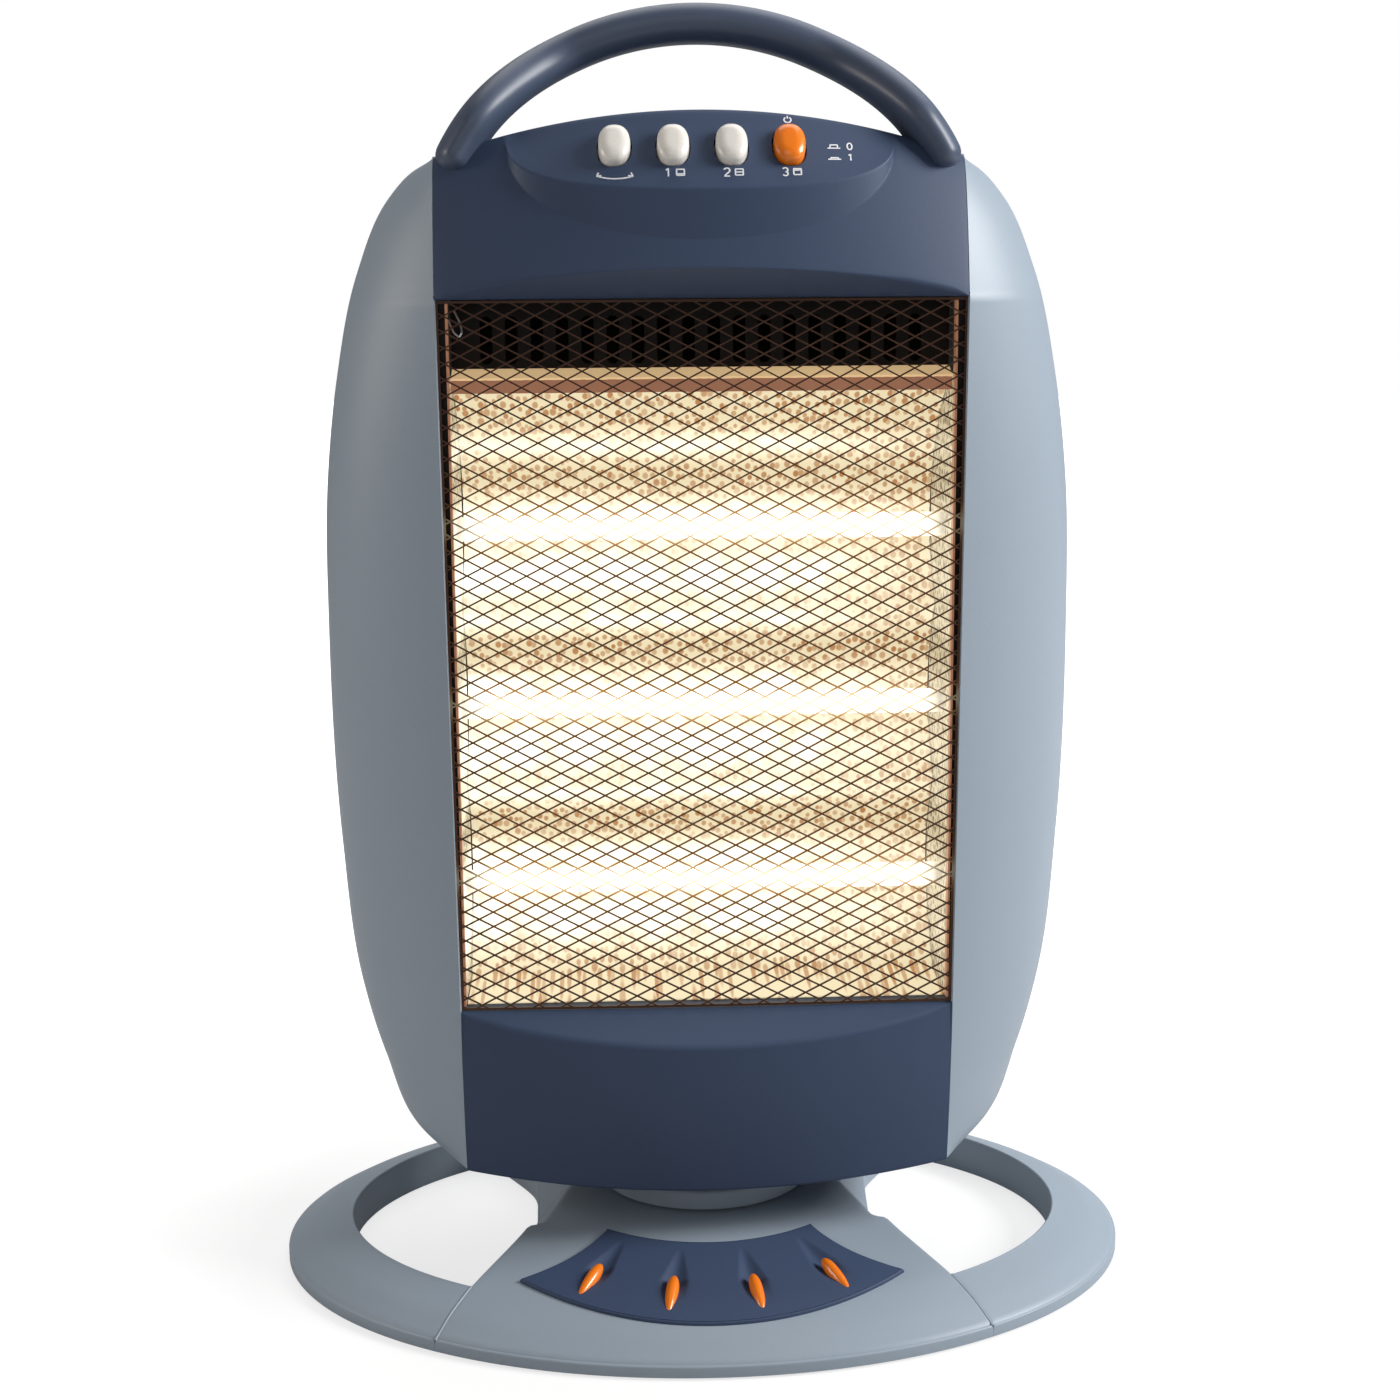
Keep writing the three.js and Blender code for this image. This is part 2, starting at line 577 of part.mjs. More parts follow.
const weightTop = HUB_BOSS_BOTTOM - SEAT;
const weightBottom = weightTop - WEIGHT_THICKNESS;
place(base, 'base_weight_plate', minus(
  box(-WEIGHT_HALF_WIDTH, -WEIGHT_HALF_DEPTH, weightBottom, WEIGHT_HALF_WIDTH, WEIGHT_HALF_DEPTH, weightTop),
  [post(0, 0, LOW, HIGH, SPINDLE_RADIUS + SEAT), post(...PLUNGER_PLACE, LOW, HIGH, PLUNGER_RADIUS + RUN)],
), 'steel');

const [plungerX, plungerY] = PLUNGER_PLACE;
const [switchWidth, switchDepth, switchTall] = TIP_SWITCH_SIZE;
const tipSwitchBottom = weightTop + SEAT;
place(base, 'tip_switch', box(
  plungerX - switchWidth / 2, plungerY - switchDepth / 2, tipSwitchBottom,
  plungerX + switchWidth / 2, plungerY + switchDepth / 2, tipSwitchBottom + switchTall,
).subtract(post(plungerX, plungerY, LOW, PLUNGER_LENGTH + 3, PLUNGER_RADIUS + RUN)), 'blackPlastic');
place(base, 'tip_plunger', post(0, 0, 0, PLUNGER_LENGTH, PLUNGER_RADIUS, 14), 'whitePlastic',
  [plungerX, plungerY, 0]);

// ---------------------------------------------------------------- swivel
const nutBottom = COVER_BOTTOM + WALL + SEAT;
const nutTop = nutBottom + NUT_HEIGHT;
const yokeBottom = nutTop + SEAT;
const yokeTop = yokeBottom + YOKE_THICKNESS;
const spindleTop = yokeTop + SPINDLE_ABOVE_YOKE;
const flangeTop = weightBottom - SEAT;
const spindle = union([
  post(0, 0, flangeTop - SPINDLE_FLANGE_HEIGHT, spindleTop, SPINDLE_RADIUS),
  post(0, 0, flangeTop - SPINDLE_FLANGE_HEIGHT, flangeTop, SPINDLE_FLANGE_RADIUS),
]).subtract(post(0, 0, LOW, spindleTop + 5, SPINDLE_BORE, 16));
place(base, 'swivel_spindle', spindle, 'steel');

const washerBottom = HUB_HEIGHT - HUB_RECESS_DEPTH + SEAT;
const washerTop = washerBottom + WASHER_THICKNESS;
place(base, 'wear_washer', post(0, 0, washerBottom, washerTop, WASHER_RADIUS, 32)
  .subtract(post(0, 0, LOW, HIGH, SPINDLE_RADIUS + RUN)), 'whitePlastic');

const turntableBottom = washerTop + SEAT;
const turntableTop = turntableBottom + TURNTABLE_HEIGHT;
const neckTop = COVER_BOTTOM - SEAT;
const turntableProfile = [
  [0, turntableBottom], [TURNTABLE_RADIUS, turntableBottom],
  [TURNTABLE_RADIUS, turntableTop - TURNTABLE_EDGE],
  [TURNTABLE_RADIUS - 0.3 * TURNTABLE_EDGE, turntableTop - 0.3 * TURNTABLE_EDGE],
  [TURNTABLE_RADIUS - TURNTABLE_EDGE, turntableTop],
  [NECK_RADIUS, turntableTop], [NECK_RADIUS, neckTop], [0, neckTop],
].map(([r, z]) => new THREE.Vector2(r, z));
const turntable = solid(new THREE.LatheGeometry(turntableProfile, 32).rotateX(Math.PI / 2));
place(head, 'turntable', turntable.subtract(post(0, 0, LOW, HIGH, SPINDLE_RADIUS + RUN)), 'paleBlue');

// ---------------------------------------------------------------- head: outline and edge lines
const outlineCurve = new THREE.SplineCurve(HEAD_OUTLINE.map(([w, z]) => new THREE.Vector2(w, z)));
const headBottom = HEAD_OUTLINE[0][1];
const headTop = HEAD_OUTLINE[HEAD_OUTLINE.length - 1][1];

// Half width of the dark panels at a height.
function panelHalfWidth(z) {
  const share = (z - headBottom) / (headTop - headBottom);
  return PANEL_HALF_WIDTH_LOW + (PANEL_HALF_WIDTH_HIGH - PANEL_HALF_WIDTH_LOW) * share;
}

const PANEL_MID_WIDTH = (PANEL_HALF_WIDTH_LOW + PANEL_HALF_WIDTH_HIGH) / 2;

// How far the centre of a cover bulges, falling to nothing at the panel's edge.
const bulge = (x, most) => most * Math.max(0, 1 - (x / PANEL_MID_WIDTH) ** 2);

// The top front edge of the control panel.
function ridgeAt(x) {
  return {
    z: RIDGE_HEIGHT - RIDGE_DROP * (x / PANEL_MID_WIDTH) ** 2,
    y: -(RIDGE_DEPTH_SIDE + bulge(x, RIDGE_DEPTH - RIDGE_DEPTH_SIDE)),
  };
}

// Height of a crescent-shaped chamfer along a window edge.
const crescent = (x, most) => most * (bulge(x, 1) ** 0.75);

// The upper end of the chamfer above the window.
function crescentAt(x) {
  return { y: -(EDGE_DEPTH_FRONT - 0.5 + bulge(x, BOW_FRONT)), z: WINDOW_TOP + crescent(x, CRESCENT_TOP) };
}

// The front of the top cover between crescent and ridge, without the control panel.
function domeY(x, z) {
  const foot = crescentAt(x);
  const ridge = ridgeAt(x);
  const share = THREE.MathUtils.clamp((z - foot.z) / (ridge.z - foot.z), 0, 1);
  const straight = 1 - share;
  const round = Math.sqrt(1 - share ** 2);
  return ridge.y + (foot.y - ridge.y) * (straight + (round - straight) * DOME_FULLNESS);
}

// How far the back of the head draws in above the window.
function rearDraw(x, z) {
  return REAR_EASE * THREE.MathUtils.clamp((z - WINDOW_TOP) / (ridgeAt(x).z - WINDOW_TOP), 0, 1) ** 4;
}

const bottomDraw = (z) => EDGE_EASE * Math.max(0, (WINDOW_BOTTOM - z) / (WINDOW_BOTTOM - headBottom)) ** 2;

// Depth of the edge between panels and side shells, in front of the swivel axis and behind it.
function edgeInFront(z) {
  return z > WINDOW_TOP ? -domeY(PANEL_MID_WIDTH, z) : EDGE_DEPTH_FRONT - bottomDraw(z);
}

function edgeBehind(z) {
  return EDGE_DEPTH_REAR - bottomDraw(z) - rearDraw(PANEL_MID_WIDTH, z);
}

// One level of a side shell seen from above: a part of an ellipse in front, another behind, and
// an inner side at x = near.
function shellLevel(side, halfWidth, z, inset, near) {
  const edge = panelHalfWidth(z) + SEAT / 2;
  const reach = Math.max(halfWidth, edge + 0.4);
  const span = Math.acos(edge / reach);
  const ring = [];
  for (let i = -ARC_STEPS; i <= ARC_STEPS; i += 1) {
    const angle = (span * i) / ARC_STEPS;
    const depth = ((i < 0 ? edgeInFront(z) : edgeBehind(z)) - inset) / Math.sin(span);
    ring.push(new THREE.Vector3(side * reach * Math.cos(angle), depth * Math.sin(angle), z));
  }
  if (near < edge) {
    ring.push(new THREE.Vector3(side * near, ring[ring.length - 1].y, z));
    ring.push(new THREE.Vector3(side * near, ring[0].y, z));
  }
  return ring;
}

function shellOuter(side) {
  const levels = outlineCurve.getPoints(OUTLINE_STEPS);
  return loft(levels.map((p) => shellLevel(side, p.x, p.y, 0, Infinity)), seenFromAbove);
}

// The hollow of a side shell: the same outline, moved in by the wall along its own normal.
function shellHollow(side) {
  const levels = [];
  for (let i = 1; i < OUTLINE_STEPS; i += 1) {
    const p = outlineCurve.getPoint(i / OUTLINE_STEPS);
    const t = outlineCurve.getTangent(i / OUTLINE_STEPS);
    const moved = new THREE.Vector2(p.x - WALL * t.y, p.y + WALL * t.x);
    if (moved.x > panelHalfWidth(moved.y) + 2) levels.push(moved);
  }
  return loft(levels.map((p) => shellLevel(side, p.x, p.y, WALL, PANEL_HALF_WIDTH_LOW - 5)), seenFromAbove);
}

// ---------------------------------------------------------------- handle
const handleCentreHeight = headTop - HANDLE_SINK;

// The bar follows half an ellipse. grow widens its oval section, extra lengthens its ends.
function handleSolid(grow, extra, fromAngle, toAngle) {
  const steps = 24;
  const sectionSteps = 10;
  const start = radians(fromAngle - extra);
  const stop = radians(toAngle + extra);
  const rings = Array.from({ length: steps + 1 }, (_, i) => {
    const angle = start + ((stop - start) * i) / steps;
    const centre = new THREE.Vector3(HANDLE_HALF_SPAN * Math.cos(angle), 0,
      handleCentreHeight + HANDLE_RISE * Math.sin(angle));
    const across = new THREE.Vector3(HANDLE_RISE * Math.cos(angle), 0, HANDLE_HALF_SPAN * Math.sin(angle));
    across.normalize();
    return Array.from({ length: sectionSteps }, (__, k) => {
      const turn = (2 * Math.PI * k) / sectionSteps;
      const p = centre.clone().addScaledVector(across, (HANDLE_THICKNESS / 2 + grow) * Math.cos(turn));
      p.y += (HANDLE_DEPTH / 2 + grow) * Math.sin(turn);
      return p;
    });
  });
  return loft(rings, (p) => new THREE.Vector2(p.x, p.y));
}

place(head, 'handle', handleSolid(0, 0, HANDLE_END_ANGLE, 180 - HANDLE_END_ANGLE), 'handle');
const handleSocket = handleSolid(SEAT, 0.4, HANDLE_END_ANGLE, 180 - HANDLE_END_ANGLE);
const handleSleeves = [
  handleSolid(SEAT + WALL, 2, HANDLE_END_ANGLE, 60),
  handleSolid(SEAT + WALL, 2, 120, 180 - HANDLE_END_ANGLE),
];

SIDES.forEach((side) => {
  const name = side < 0 ? 'side_shell_left' : 'side_shell_right';
  place(head, name, minus(shellOuter(side), [shellHollow(side), handleSocket]), 'paleBlue');
});

// ---------------------------------------------------------------- dark covers
// Each cover is a skin over outlines in Y and Z at these places along X, out past its edges.
const beyondPanel = PANEL_HALF_WIDTH_HIGH + 8;
const stationsRight = [0.15, 0.44, 0.7, 0.9, 1].map((share) => share * PLATEAU_HALF_WIDTH);
stationsRight.push((PLATEAU_HALF_WIDTH + beyondPanel) / 2, beyondPanel);
const STATIONS = [...stationsRight.map((x) => -x).reverse(), ...stationsRight];

// The front skin of the top cover at one place: window edge, crescent, foot of the chin, lower
// edge of the control panel, ridge.
function topFrontSkin(x) {
  const ridge = ridgeAt(x);
  const width = Math.min(1, Math.abs(x) / PLATEAU_HALF_WIDTH);
  const open = Math.sqrt(1 - width ** 2);
  const chinZ = ridge.z - RIDGE_LIP - CHIN_DROP * open;
  const plateauZ = ridge.z - RIDGE_LIP - PLATEAU_DROP * open;
  const chin = { y: domeY(x, chinZ), z: chinZ };
  const plateau = { y: chin.y + CHIN_LEAN * open, z: plateauZ };
  return { window: { y: -WINDOW_DEPTH, z: WINDOW_TOP }, crescent: crescentAt(x), chin, plateau, ridge };
}

function topFrontRing(x) {
  const s = topFrontSkin(x);
  return [s.window, s.crescent, s.chin, s.plateau, s.ridge, { y: -SEAT / 2, z: s.ridge.z + CROWN },
    { y: -SEAT / 2, z: WINDOW_TOP }].map(({ y, z }) => new THREE.Vector3(x, y, z));
}

function topFrontHollowRing(x) {
  const s = topFrontSkin(x);
  return [
    { y: s.window.y + WALL, z: WINDOW_TOP + WALL }, { y: s.crescent.y + WALL, z: s.crescent.z + WALL },
    { y: s.chin.y + WALL + 0.4, z: s.chin.z }, { y: s.plateau.y + WALL + 1, z: s.plateau.z },
    { y: s.ridge.y + 1.5, z: s.ridge.z - WALL - 0.9 },
    { y: OVERRUN, z: s.ridge.z + CROWN - WALL }, { y: OVERRUN, z: WINDOW_TOP + WALL },
  ].map(({ y, z }) => new THREE.Vector3(x, y, z));
}

function topRearRing(x, inset, start) {
  const top = ridgeAt(x).z;
  const rear = EDGE_DEPTH_REAR + bulge(x, BOW_REAR) - inset;
  const outer = [0, 5, 12, 24].map((down) => (
    { y: rear - rearDraw(x, top - down), z: top - down - inset }
  ));
  return [
    { y: start, z: WINDOW_TOP + inset }, { y: start, z: top + CROWN - inset }, ...outer,
    { y: rear, z: WINDOW_TOP + inset },
  ].map((p) => new THREE.Vector3(x, p.y, p.z));
}

const coverBottomAt = (x) => COVER_BOTTOM + COVER_BOTTOM_ARCH * (x / PANEL_MID_WIDTH) ** 2;

function bottomFrontRing(x, inset, end) {
  const bow = bulge(x, BOW_FRONT);
  const floor = coverBottomAt(x) + inset;
  const crescentZ = Math.min(WINDOW_BOTTOM - crescent(x, CRESCENT_BOTTOM), WINDOW_BOTTOM - inset);
  return [
    { y: end, z: WINDOW_BOTTOM - inset }, { y: -WINDOW_DEPTH + inset, z: WINDOW_BOTTOM - inset },
    { y: -(EDGE_DEPTH_FRONT - 0.5 + bow) + inset, z: crescentZ - inset / 2 },
    { y: -(EDGE_DEPTH_FRONT + bow) + inset, z: COVER_BELLY },
    { y: -(EDGE_DEPTH_FRONT - 4 + bow) + inset, z: floor + 2 },
    { y: -(EDGE_DEPTH_FRONT - 6 + bow) + inset, z: floor }, { y: end, z: floor },
  ].map((p) => new THREE.Vector3(x, p.y, p.z));
}

function bottomRearRing(x, inset, start) {
  const rear = EDGE_DEPTH_REAR + bulge(x, BOW_REAR) - inset;
  const floor = coverBottomAt(x) + inset;
  return [
    { y: start, z: floor }, { y: rear - 6, z: floor }, { y: rear - 2, z: floor + 4 },
    { y: rear, z: COVER_BELLY },
    { y: rear, z: WINDOW_BOTTOM - inset }, { y: start, z: WINDOW_BOTTOM - inset },
  ].map((p) => new THREE.Vector3(x, p.y, p.z));
}

const skinOver = (ringAt) => loft(STATIONS.map(ringAt), seenFromSide);

// The space between the two side shells, narrowed by inset on each side.
function panelSpace(inset) {
  const points = [headBottom - 20, headTop + 40].map((z) => [panelHalfWidth(z) - inset, z]);
  const [[low, zLow], [high, zHigh]] = points;
  const shape = new THREE.Shape([[-low, zLow], [low, zLow], [high, zHigh], [-high, zHigh]]
    .map(([x, z]) => new THREE.Vector2(x, z)));
  const geometry = new THREE.ExtrudeGeometry(shape, { depth: THROUGH, bevelEnabled: false });
  return solid(geometry.rotateX(Math.PI / 2).translate(0, THROUGH / 2, 0));
}

const betweenShells = panelSpace(SEAT / 2);
const insideCovers = panelSpace(WALL + SEAT / 2);

// Buttons press square to the control panel, which leans back.
const panelSkin = topFrontSkin(0);
const panelRun = panelSkin.ridge.y - panelSkin.plateau.y;
const panelLean = Math.atan2(panelRun, panelSkin.ridge.z - panelSkin.plateau.z);
const panelTurn = Math.PI / 2 - panelLean;

function panelPoint(x, z) {
  const { plateau, ridge } = topFrontSkin(x);
  const share = (z - plateau.z) / (ridge.z - plateau.z);
  return [x, plateau.y + (ridge.y - plateau.y) * share, z];
}

function onPanel(geometry, position) {
  return geometry.rotateX(panelTurn).translate(...position);
}

function ovalRing(scale, z, grow = 0) {
  const steps = 12;
  const squareness = 0.85;
  return Array.from({ length: steps }, (_, i) => {
    const angle = (2 * Math.PI * i) / steps;
    const round = (v) => Math.sign(v) * Math.abs(v) ** squareness;
    const x = (scale * BUTTON_WIDTH) / 2 + grow;
    const y = (scale * BUTTON_LENGTH) / 2 + grow;
    return new THREE.Vector3(x * round(Math.cos(angle)), y * round(Math.sin(angle)), z);
  });
}

const flangeAt = -BUTTON_FLANGE_DEPTH;
const stemTop = flangeAt - BUTTON_FLANGE_THICKNESS;
const stemEnd = stemTop - BUTTON_STEM_LENGTH;
const stemRing = (z) => ovalRing(0, z, BUTTON_STEM);
const buttonGeometry = () => loftGeometry([
  stemRing(stemEnd), stemRing(stemTop),
  ovalRing(1, stemTop, BUTTON_FLANGE), ovalRing(1, flangeAt, BUTTON_FLANGE),
  ovalRing(1, flangeAt), ovalRing(1, BUTTON_PROUD * 0.5), ovalRing(0.88, BUTTON_PROUD * 0.82),
  ovalRing(0.55, BUTTON_PROUD),
], seenFromAbove);
const buttonHeight = RIDGE_HEIGHT - BUTTON_DROP;
const buttonPlaces = [-1.5, -0.5, 0.5, 1.5].map((step) => panelPoint(step * BUTTON_PITCH, buttonHeight));
const buttonHoles = buttonPlaces.map((position) => solid(onPanel(loftGeometry(
  [ovalRing(1, -14, RUN), ovalRing(1, 14, RUN)], seenFromAbove,
), position)));

const topFrontHollow = minus(skinOver(topFrontHollowRing).intersect(insideCovers), handleSleeves);
place(head, 'top_front_cover', minus(
  skinOver(topFrontRing).intersect(betweenShells), [topFrontHollow, handleSocket, ...buttonHoles],
), 'darkPlastic');

const topRearHollow = minus(
  skinOver((x) => topRearRing(x, WALL, -OVERRUN)).intersect(insideCovers), handleSleeves,
);
place(head, 'top_rear_cover', minus(
  skinOver((x) => topRearRing(x, 0, SEAT / 2)).intersect(betweenShells), [topRearHollow, handleSocket],
), 'darkPlastic');

const floorHole = post(0, 0, COVER_BOTTOM - 5, COVER_BOTTOM + WALL + 5, FLOOR_HOLE_RADIUS, 24);
place(head, 'bottom_front_cover', minus(
  skinOver((x) => bottomFrontRing(x, 0, -SEAT / 2)).intersect(betweenShells),
  [skinOver((x) => bottomFrontRing(x, WALL, OVERRUN)).intersect(insideCovers), floorHole],
), 'darkPlastic');
place(head, 'bottom_rear_cover', minus(
  skinOver((x) => bottomRearRing(x, 0, SEAT / 2)).intersect(betweenShells),
  [skinOver((x) => bottomRearRing(x, WALL, -OVERRUN)).intersect(insideCovers), floorHole],
), 'darkPlastic');

// ---------------------------------------------------------------- buttons and switch block
buttonPlaces.forEach((position, i) => {
  const colour = i === 3 ? 'orange' : 'ivory';
  place(head, `button_${i + 1}`, geometryOf(solid(buttonGeometry())), colour, position, [panelTurn, 0, 0]);
});

const switchTop = stemTop - BUTTON_TRAVEL - 1.5;
const switchFoot = WINDOW_TOP + WALL + SEAT;
const switchHalfWidth = 1.5 * BUTTON_PITCH + SWITCH_MARGIN;
const switchCase = new THREE.BoxGeometry(2 * switchHalfWidth, SWITCH_HEIGHT, SWITCH_DEPTH);
switchCase.translate(0, 0, switchTop - SWITCH_DEPTH / 2);
const outerButton = buttonPlaces[buttonPlaces.length - 1]; // the one that lies deepest
const switchCentre = [0, outerButton[1], buttonHeight];
const switchBores = buttonPlaces.map((position) => solid(onPanel(
  new THREE.CylinderGeometry(BUTTON_STEM + RUN, BUTTON_STEM + RUN, 30, 12).rotateX(Math.PI / 2)
    .translate(0, 0, stemEnd - BUTTON_TRAVEL - 1 + 15), position,
)));
const postY = switchCentre[1] + SWITCH_POST_BACK;
const switchPosts = SIDES.map((side) => box(
  side * (switchHalfWidth - 8) - 3, postY - 5, switchFoot, side * (switchHalfWidth - 8) + 3, postY + 5,
  buttonHeight - SWITCH_HEIGHT,
));
place(head, 'switch_block', minus(
  union([solid(onPanel(switchCase, switchCentre)), ...switchPosts]), switchBores,
), 'blackPlastic');

// ---------------------------------------------------------------- reflector, tubes, grille
const PITCH_HALF = (TUBE_HEIGHTS[0] - TUBE_HEIGHTS[1]) / 2;
const reflectorBottom = WINDOW_BOTTOM + SHEET + SEAT;

// The reflector's section: one parabola behind each tube and a lip above and below.
function reflectorLine() {
  const spans = [
    [TUBE_HEIGHTS[0], REFLECTOR_TOP - 3, TUBE_HEIGHTS[0] - PITCH_HALF, 8],
    [TUBE_HEIGHTS[1], TUBE_HEIGHTS[1] + PITCH_HALF, TUBE_HEIGHTS[1] - PITCH_HALF, 6],
    [TUBE_HEIGHTS[2], TUBE_HEIGHTS[2] + PITCH_HALF, reflectorBottom + 1, 7],
  ];
  const line = [[-REFLECTOR_FRONT, REFLECTOR_TOP]];
  spans.forEach(([centre, from, to, steps], n) => {
    for (let i = n === 0 ? 0 : 1; i <= steps; i += 1) {
      const z = from + ((to - from) * i) / steps;
      line.push([REFLECTOR_BACK - REFLECTOR_RIDGE * ((z - centre) / PITCH_HALF) ** 2, z]);
    }
  });
  line.push([-REFLECTOR_FRONT, reflectorBottom]);
  return line;
}

const alongX = (points, x0, x1, holes = []) => {
  const shape = new THREE.Shape(points.map(([y, z]) => new THREE.Vector2(y, z)));
  shape.holes.push(...holes);
  const geometry = new THREE.ExtrudeGeometry(shape, { depth: x1 - x0, bevelEnabled: false });
  geometry.rotateZ(Math.PI / 2).rotateY(Math.PI / 2).translate(x0, 0, 0);
  return solid(geometry);
};

const frontLine = reflectorLine();
const middleHeight = (REFLECTOR_TOP + reflectorBottom) / 2;
const halfTall = (REFLECTOR_TOP - reflectorBottom) / 2;
const backLine = frontLine.map(([y, z]) => [y + SHEET * 0.9, z + (SHEET * (z - middleHeight)) / halfTall]);
place(head, 'reflector', alongX(
  [...frontLine, ...backLine.reverse()], -REFLECTOR_HALF_WIDTH, REFLECTOR_HALF_WIDTH,
), 'aluminium');

const endInner = REFLECTOR_HALF_WIDTH + SEAT;
const endOuter = endInner + SHEET;
const endHigh = REFLECTOR_TOP + SHEET;
const endLow = reflectorBottom - SHEET;
const endBack = REFLECTOR_BACK + 1;
const endPlate = box(0, -REFLECTOR_FRONT, endLow, SHEET, endBack, endHigh);
const capInner = endOuter + SEAT;
const tubeEnd = capInner + CAP_GRIP;
SIDES.forEach((side) => {
  const name = side < 0 ? 'reflector_end_left' : 'reflector_end_right';
  const tubeHoles = TUBE_HEIGHTS.map((z) => bar(-10, 10, -TUBE_DEPTH, z, TUBE_RADIUS + RUN));
  const x = side < 0 ? -endOuter : endInner;
  place(head, name, minus(endPlate, tubeHoles), 'aluminium', [x, 0, 0]);
});

const tubeShape = bar(-tubeEnd, tubeEnd, 0, 0, TUBE_RADIUS).subtract(bar(-THROUGH, THROUGH, 0, 0, TUBE_BORE));
const filamentHalf = tubeEnd + CAP_GRIP * 0.2;
const filamentShape = bar(-filamentHalf, filamentHalf, 0, 0, FILAMENT_RADIUS, 8);
const capShape = minus(bar(0, CAP_LENGTH, 0, 0, CAP_RADIUS), [
  bar(-5, CAP_GRIP + SEAT, 0, 0, TUBE_RADIUS + SEAT),
  bar(-5, filamentHalf - capInner + SEAT, 0, 0, FILAMENT_RADIUS + SEAT, 8),
]);
TUBE_HEIGHTS.forEach((z, i) => {
  place(head, `quartz_tube_${i + 1}`, tubeShape, 'quartz', [0, -TUBE_DEPTH, z]);
  place(head, `filament_${i + 1}`, filamentShape, 'tungsten', [0, -TUBE_DEPTH, z]);
  place(head, `tube_cap_right_${i + 1}`, capShape, 'ceramic', [capInner, -TUBE_DEPTH, z]);
  place(head, `tube_cap_left_${i + 1}`, capShape, 'ceramic', [-capInner, -TUBE_DEPTH, z], [0, 0, Math.PI]);
});

// A flat sheet in X and Z with slots, whose front face lies at y.
function slottedSheet(halfLow, halfHigh, z0, z1, y, thickness, slots) {
  const plate = (points, margin) => {
    const shape = new THREE.Shape(points.map(([x, z]) => new THREE.Vector2(x, z)));
    const depth = thickness + 2 * margin;
    const geometry = new THREE.ExtrudeGeometry(shape, { depth, bevelEnabled: false });
    return geometry.rotateX(Math.PI / 2).translate(0, y + thickness + margin, 0);
  };
  const sheet = plate([[-halfLow, z0], [halfLow, z0], [halfHigh, z1], [-halfHigh, z1]], 0);
  return solid(sheet).subtract(solid(mergeGeometries(slots.map((slot) => plate(slot, 1)))));
}

function slotOutline(x, z, width, height) {
  const across = width / 2;
  const up = height / 2;
  const nip = Math.min(across, up) * 0.6;
  const half = (side) => [
    [x - side * across, z + side * (up - nip)], [x - side * across, z - side * (up - nip)],
    [x - side * (across - nip), z - side * up], [x + side * (across - nip), z - side * up],
  ];
  return [...half(1), ...half(-1)].reverse();
}

const ventSlots = Array.from({ length: VENT_SLOTS }, (_, i) => slotOutline(
  (i - (VENT_SLOTS - 1) / 2) * VENT_PITCH, VENT_SLOT_CENTRE, VENT_SLOT_WIDTH, VENT_SLOT_HEIGHT,
));
const ventBottom = REFLECTOR_TOP + SHEET + SEAT;
place(head, 'vent_plate', slottedSheet(
  REFLECTOR_HALF_WIDTH, REFLECTOR_HALF_WIDTH, ventBottom, WINDOW_TOP - SEAT, -VENT_DEPTH, SHEET, ventSlots,
), 'darkSteel');

const rearSlots = [];
for (let row = 0; row < REAR_SLOT_ROWS; row += 1) {
  SIDES.forEach((side) => rearSlots.push(slotOutline(
    side * REAR_SLOT_PLACE, REAR_SLOT_FIRST + row * REAR_SLOT_PITCH, REAR_SLOT_LENGTH, REAR_SLOT_HEIGHT,
  )));
}
const rearLow = WINDOW_BOTTOM + SEAT;
const rearHigh = WINDOW_TOP - SEAT;
place(head, 'rear_panel', slottedSheet(
  panelHalfWidth(rearLow) - SEAT, panelHalfWidth(rearHigh) - SEAT, rearLow, rearHigh,
  EDGE_DEPTH_REAR - 2 * SHEET, SHEET, rearSlots,
), 'darkSteel');

const cutout = new THREE.CylinderGeometry(CUTOUT_RADIUS, CUTOUT_RADIUS, CUTOUT_HEIGHT, 16);
const cutoutDepth = REFLECTOR_BACK + SHEET + SEAT + CUTOUT_HEIGHT / 2;
place(head, 'thermal_cutout', solid(cutout), 'blackPlastic', [CUTOUT_PLACE, cutoutDepth, TUBE_HEIGHTS[1]]);

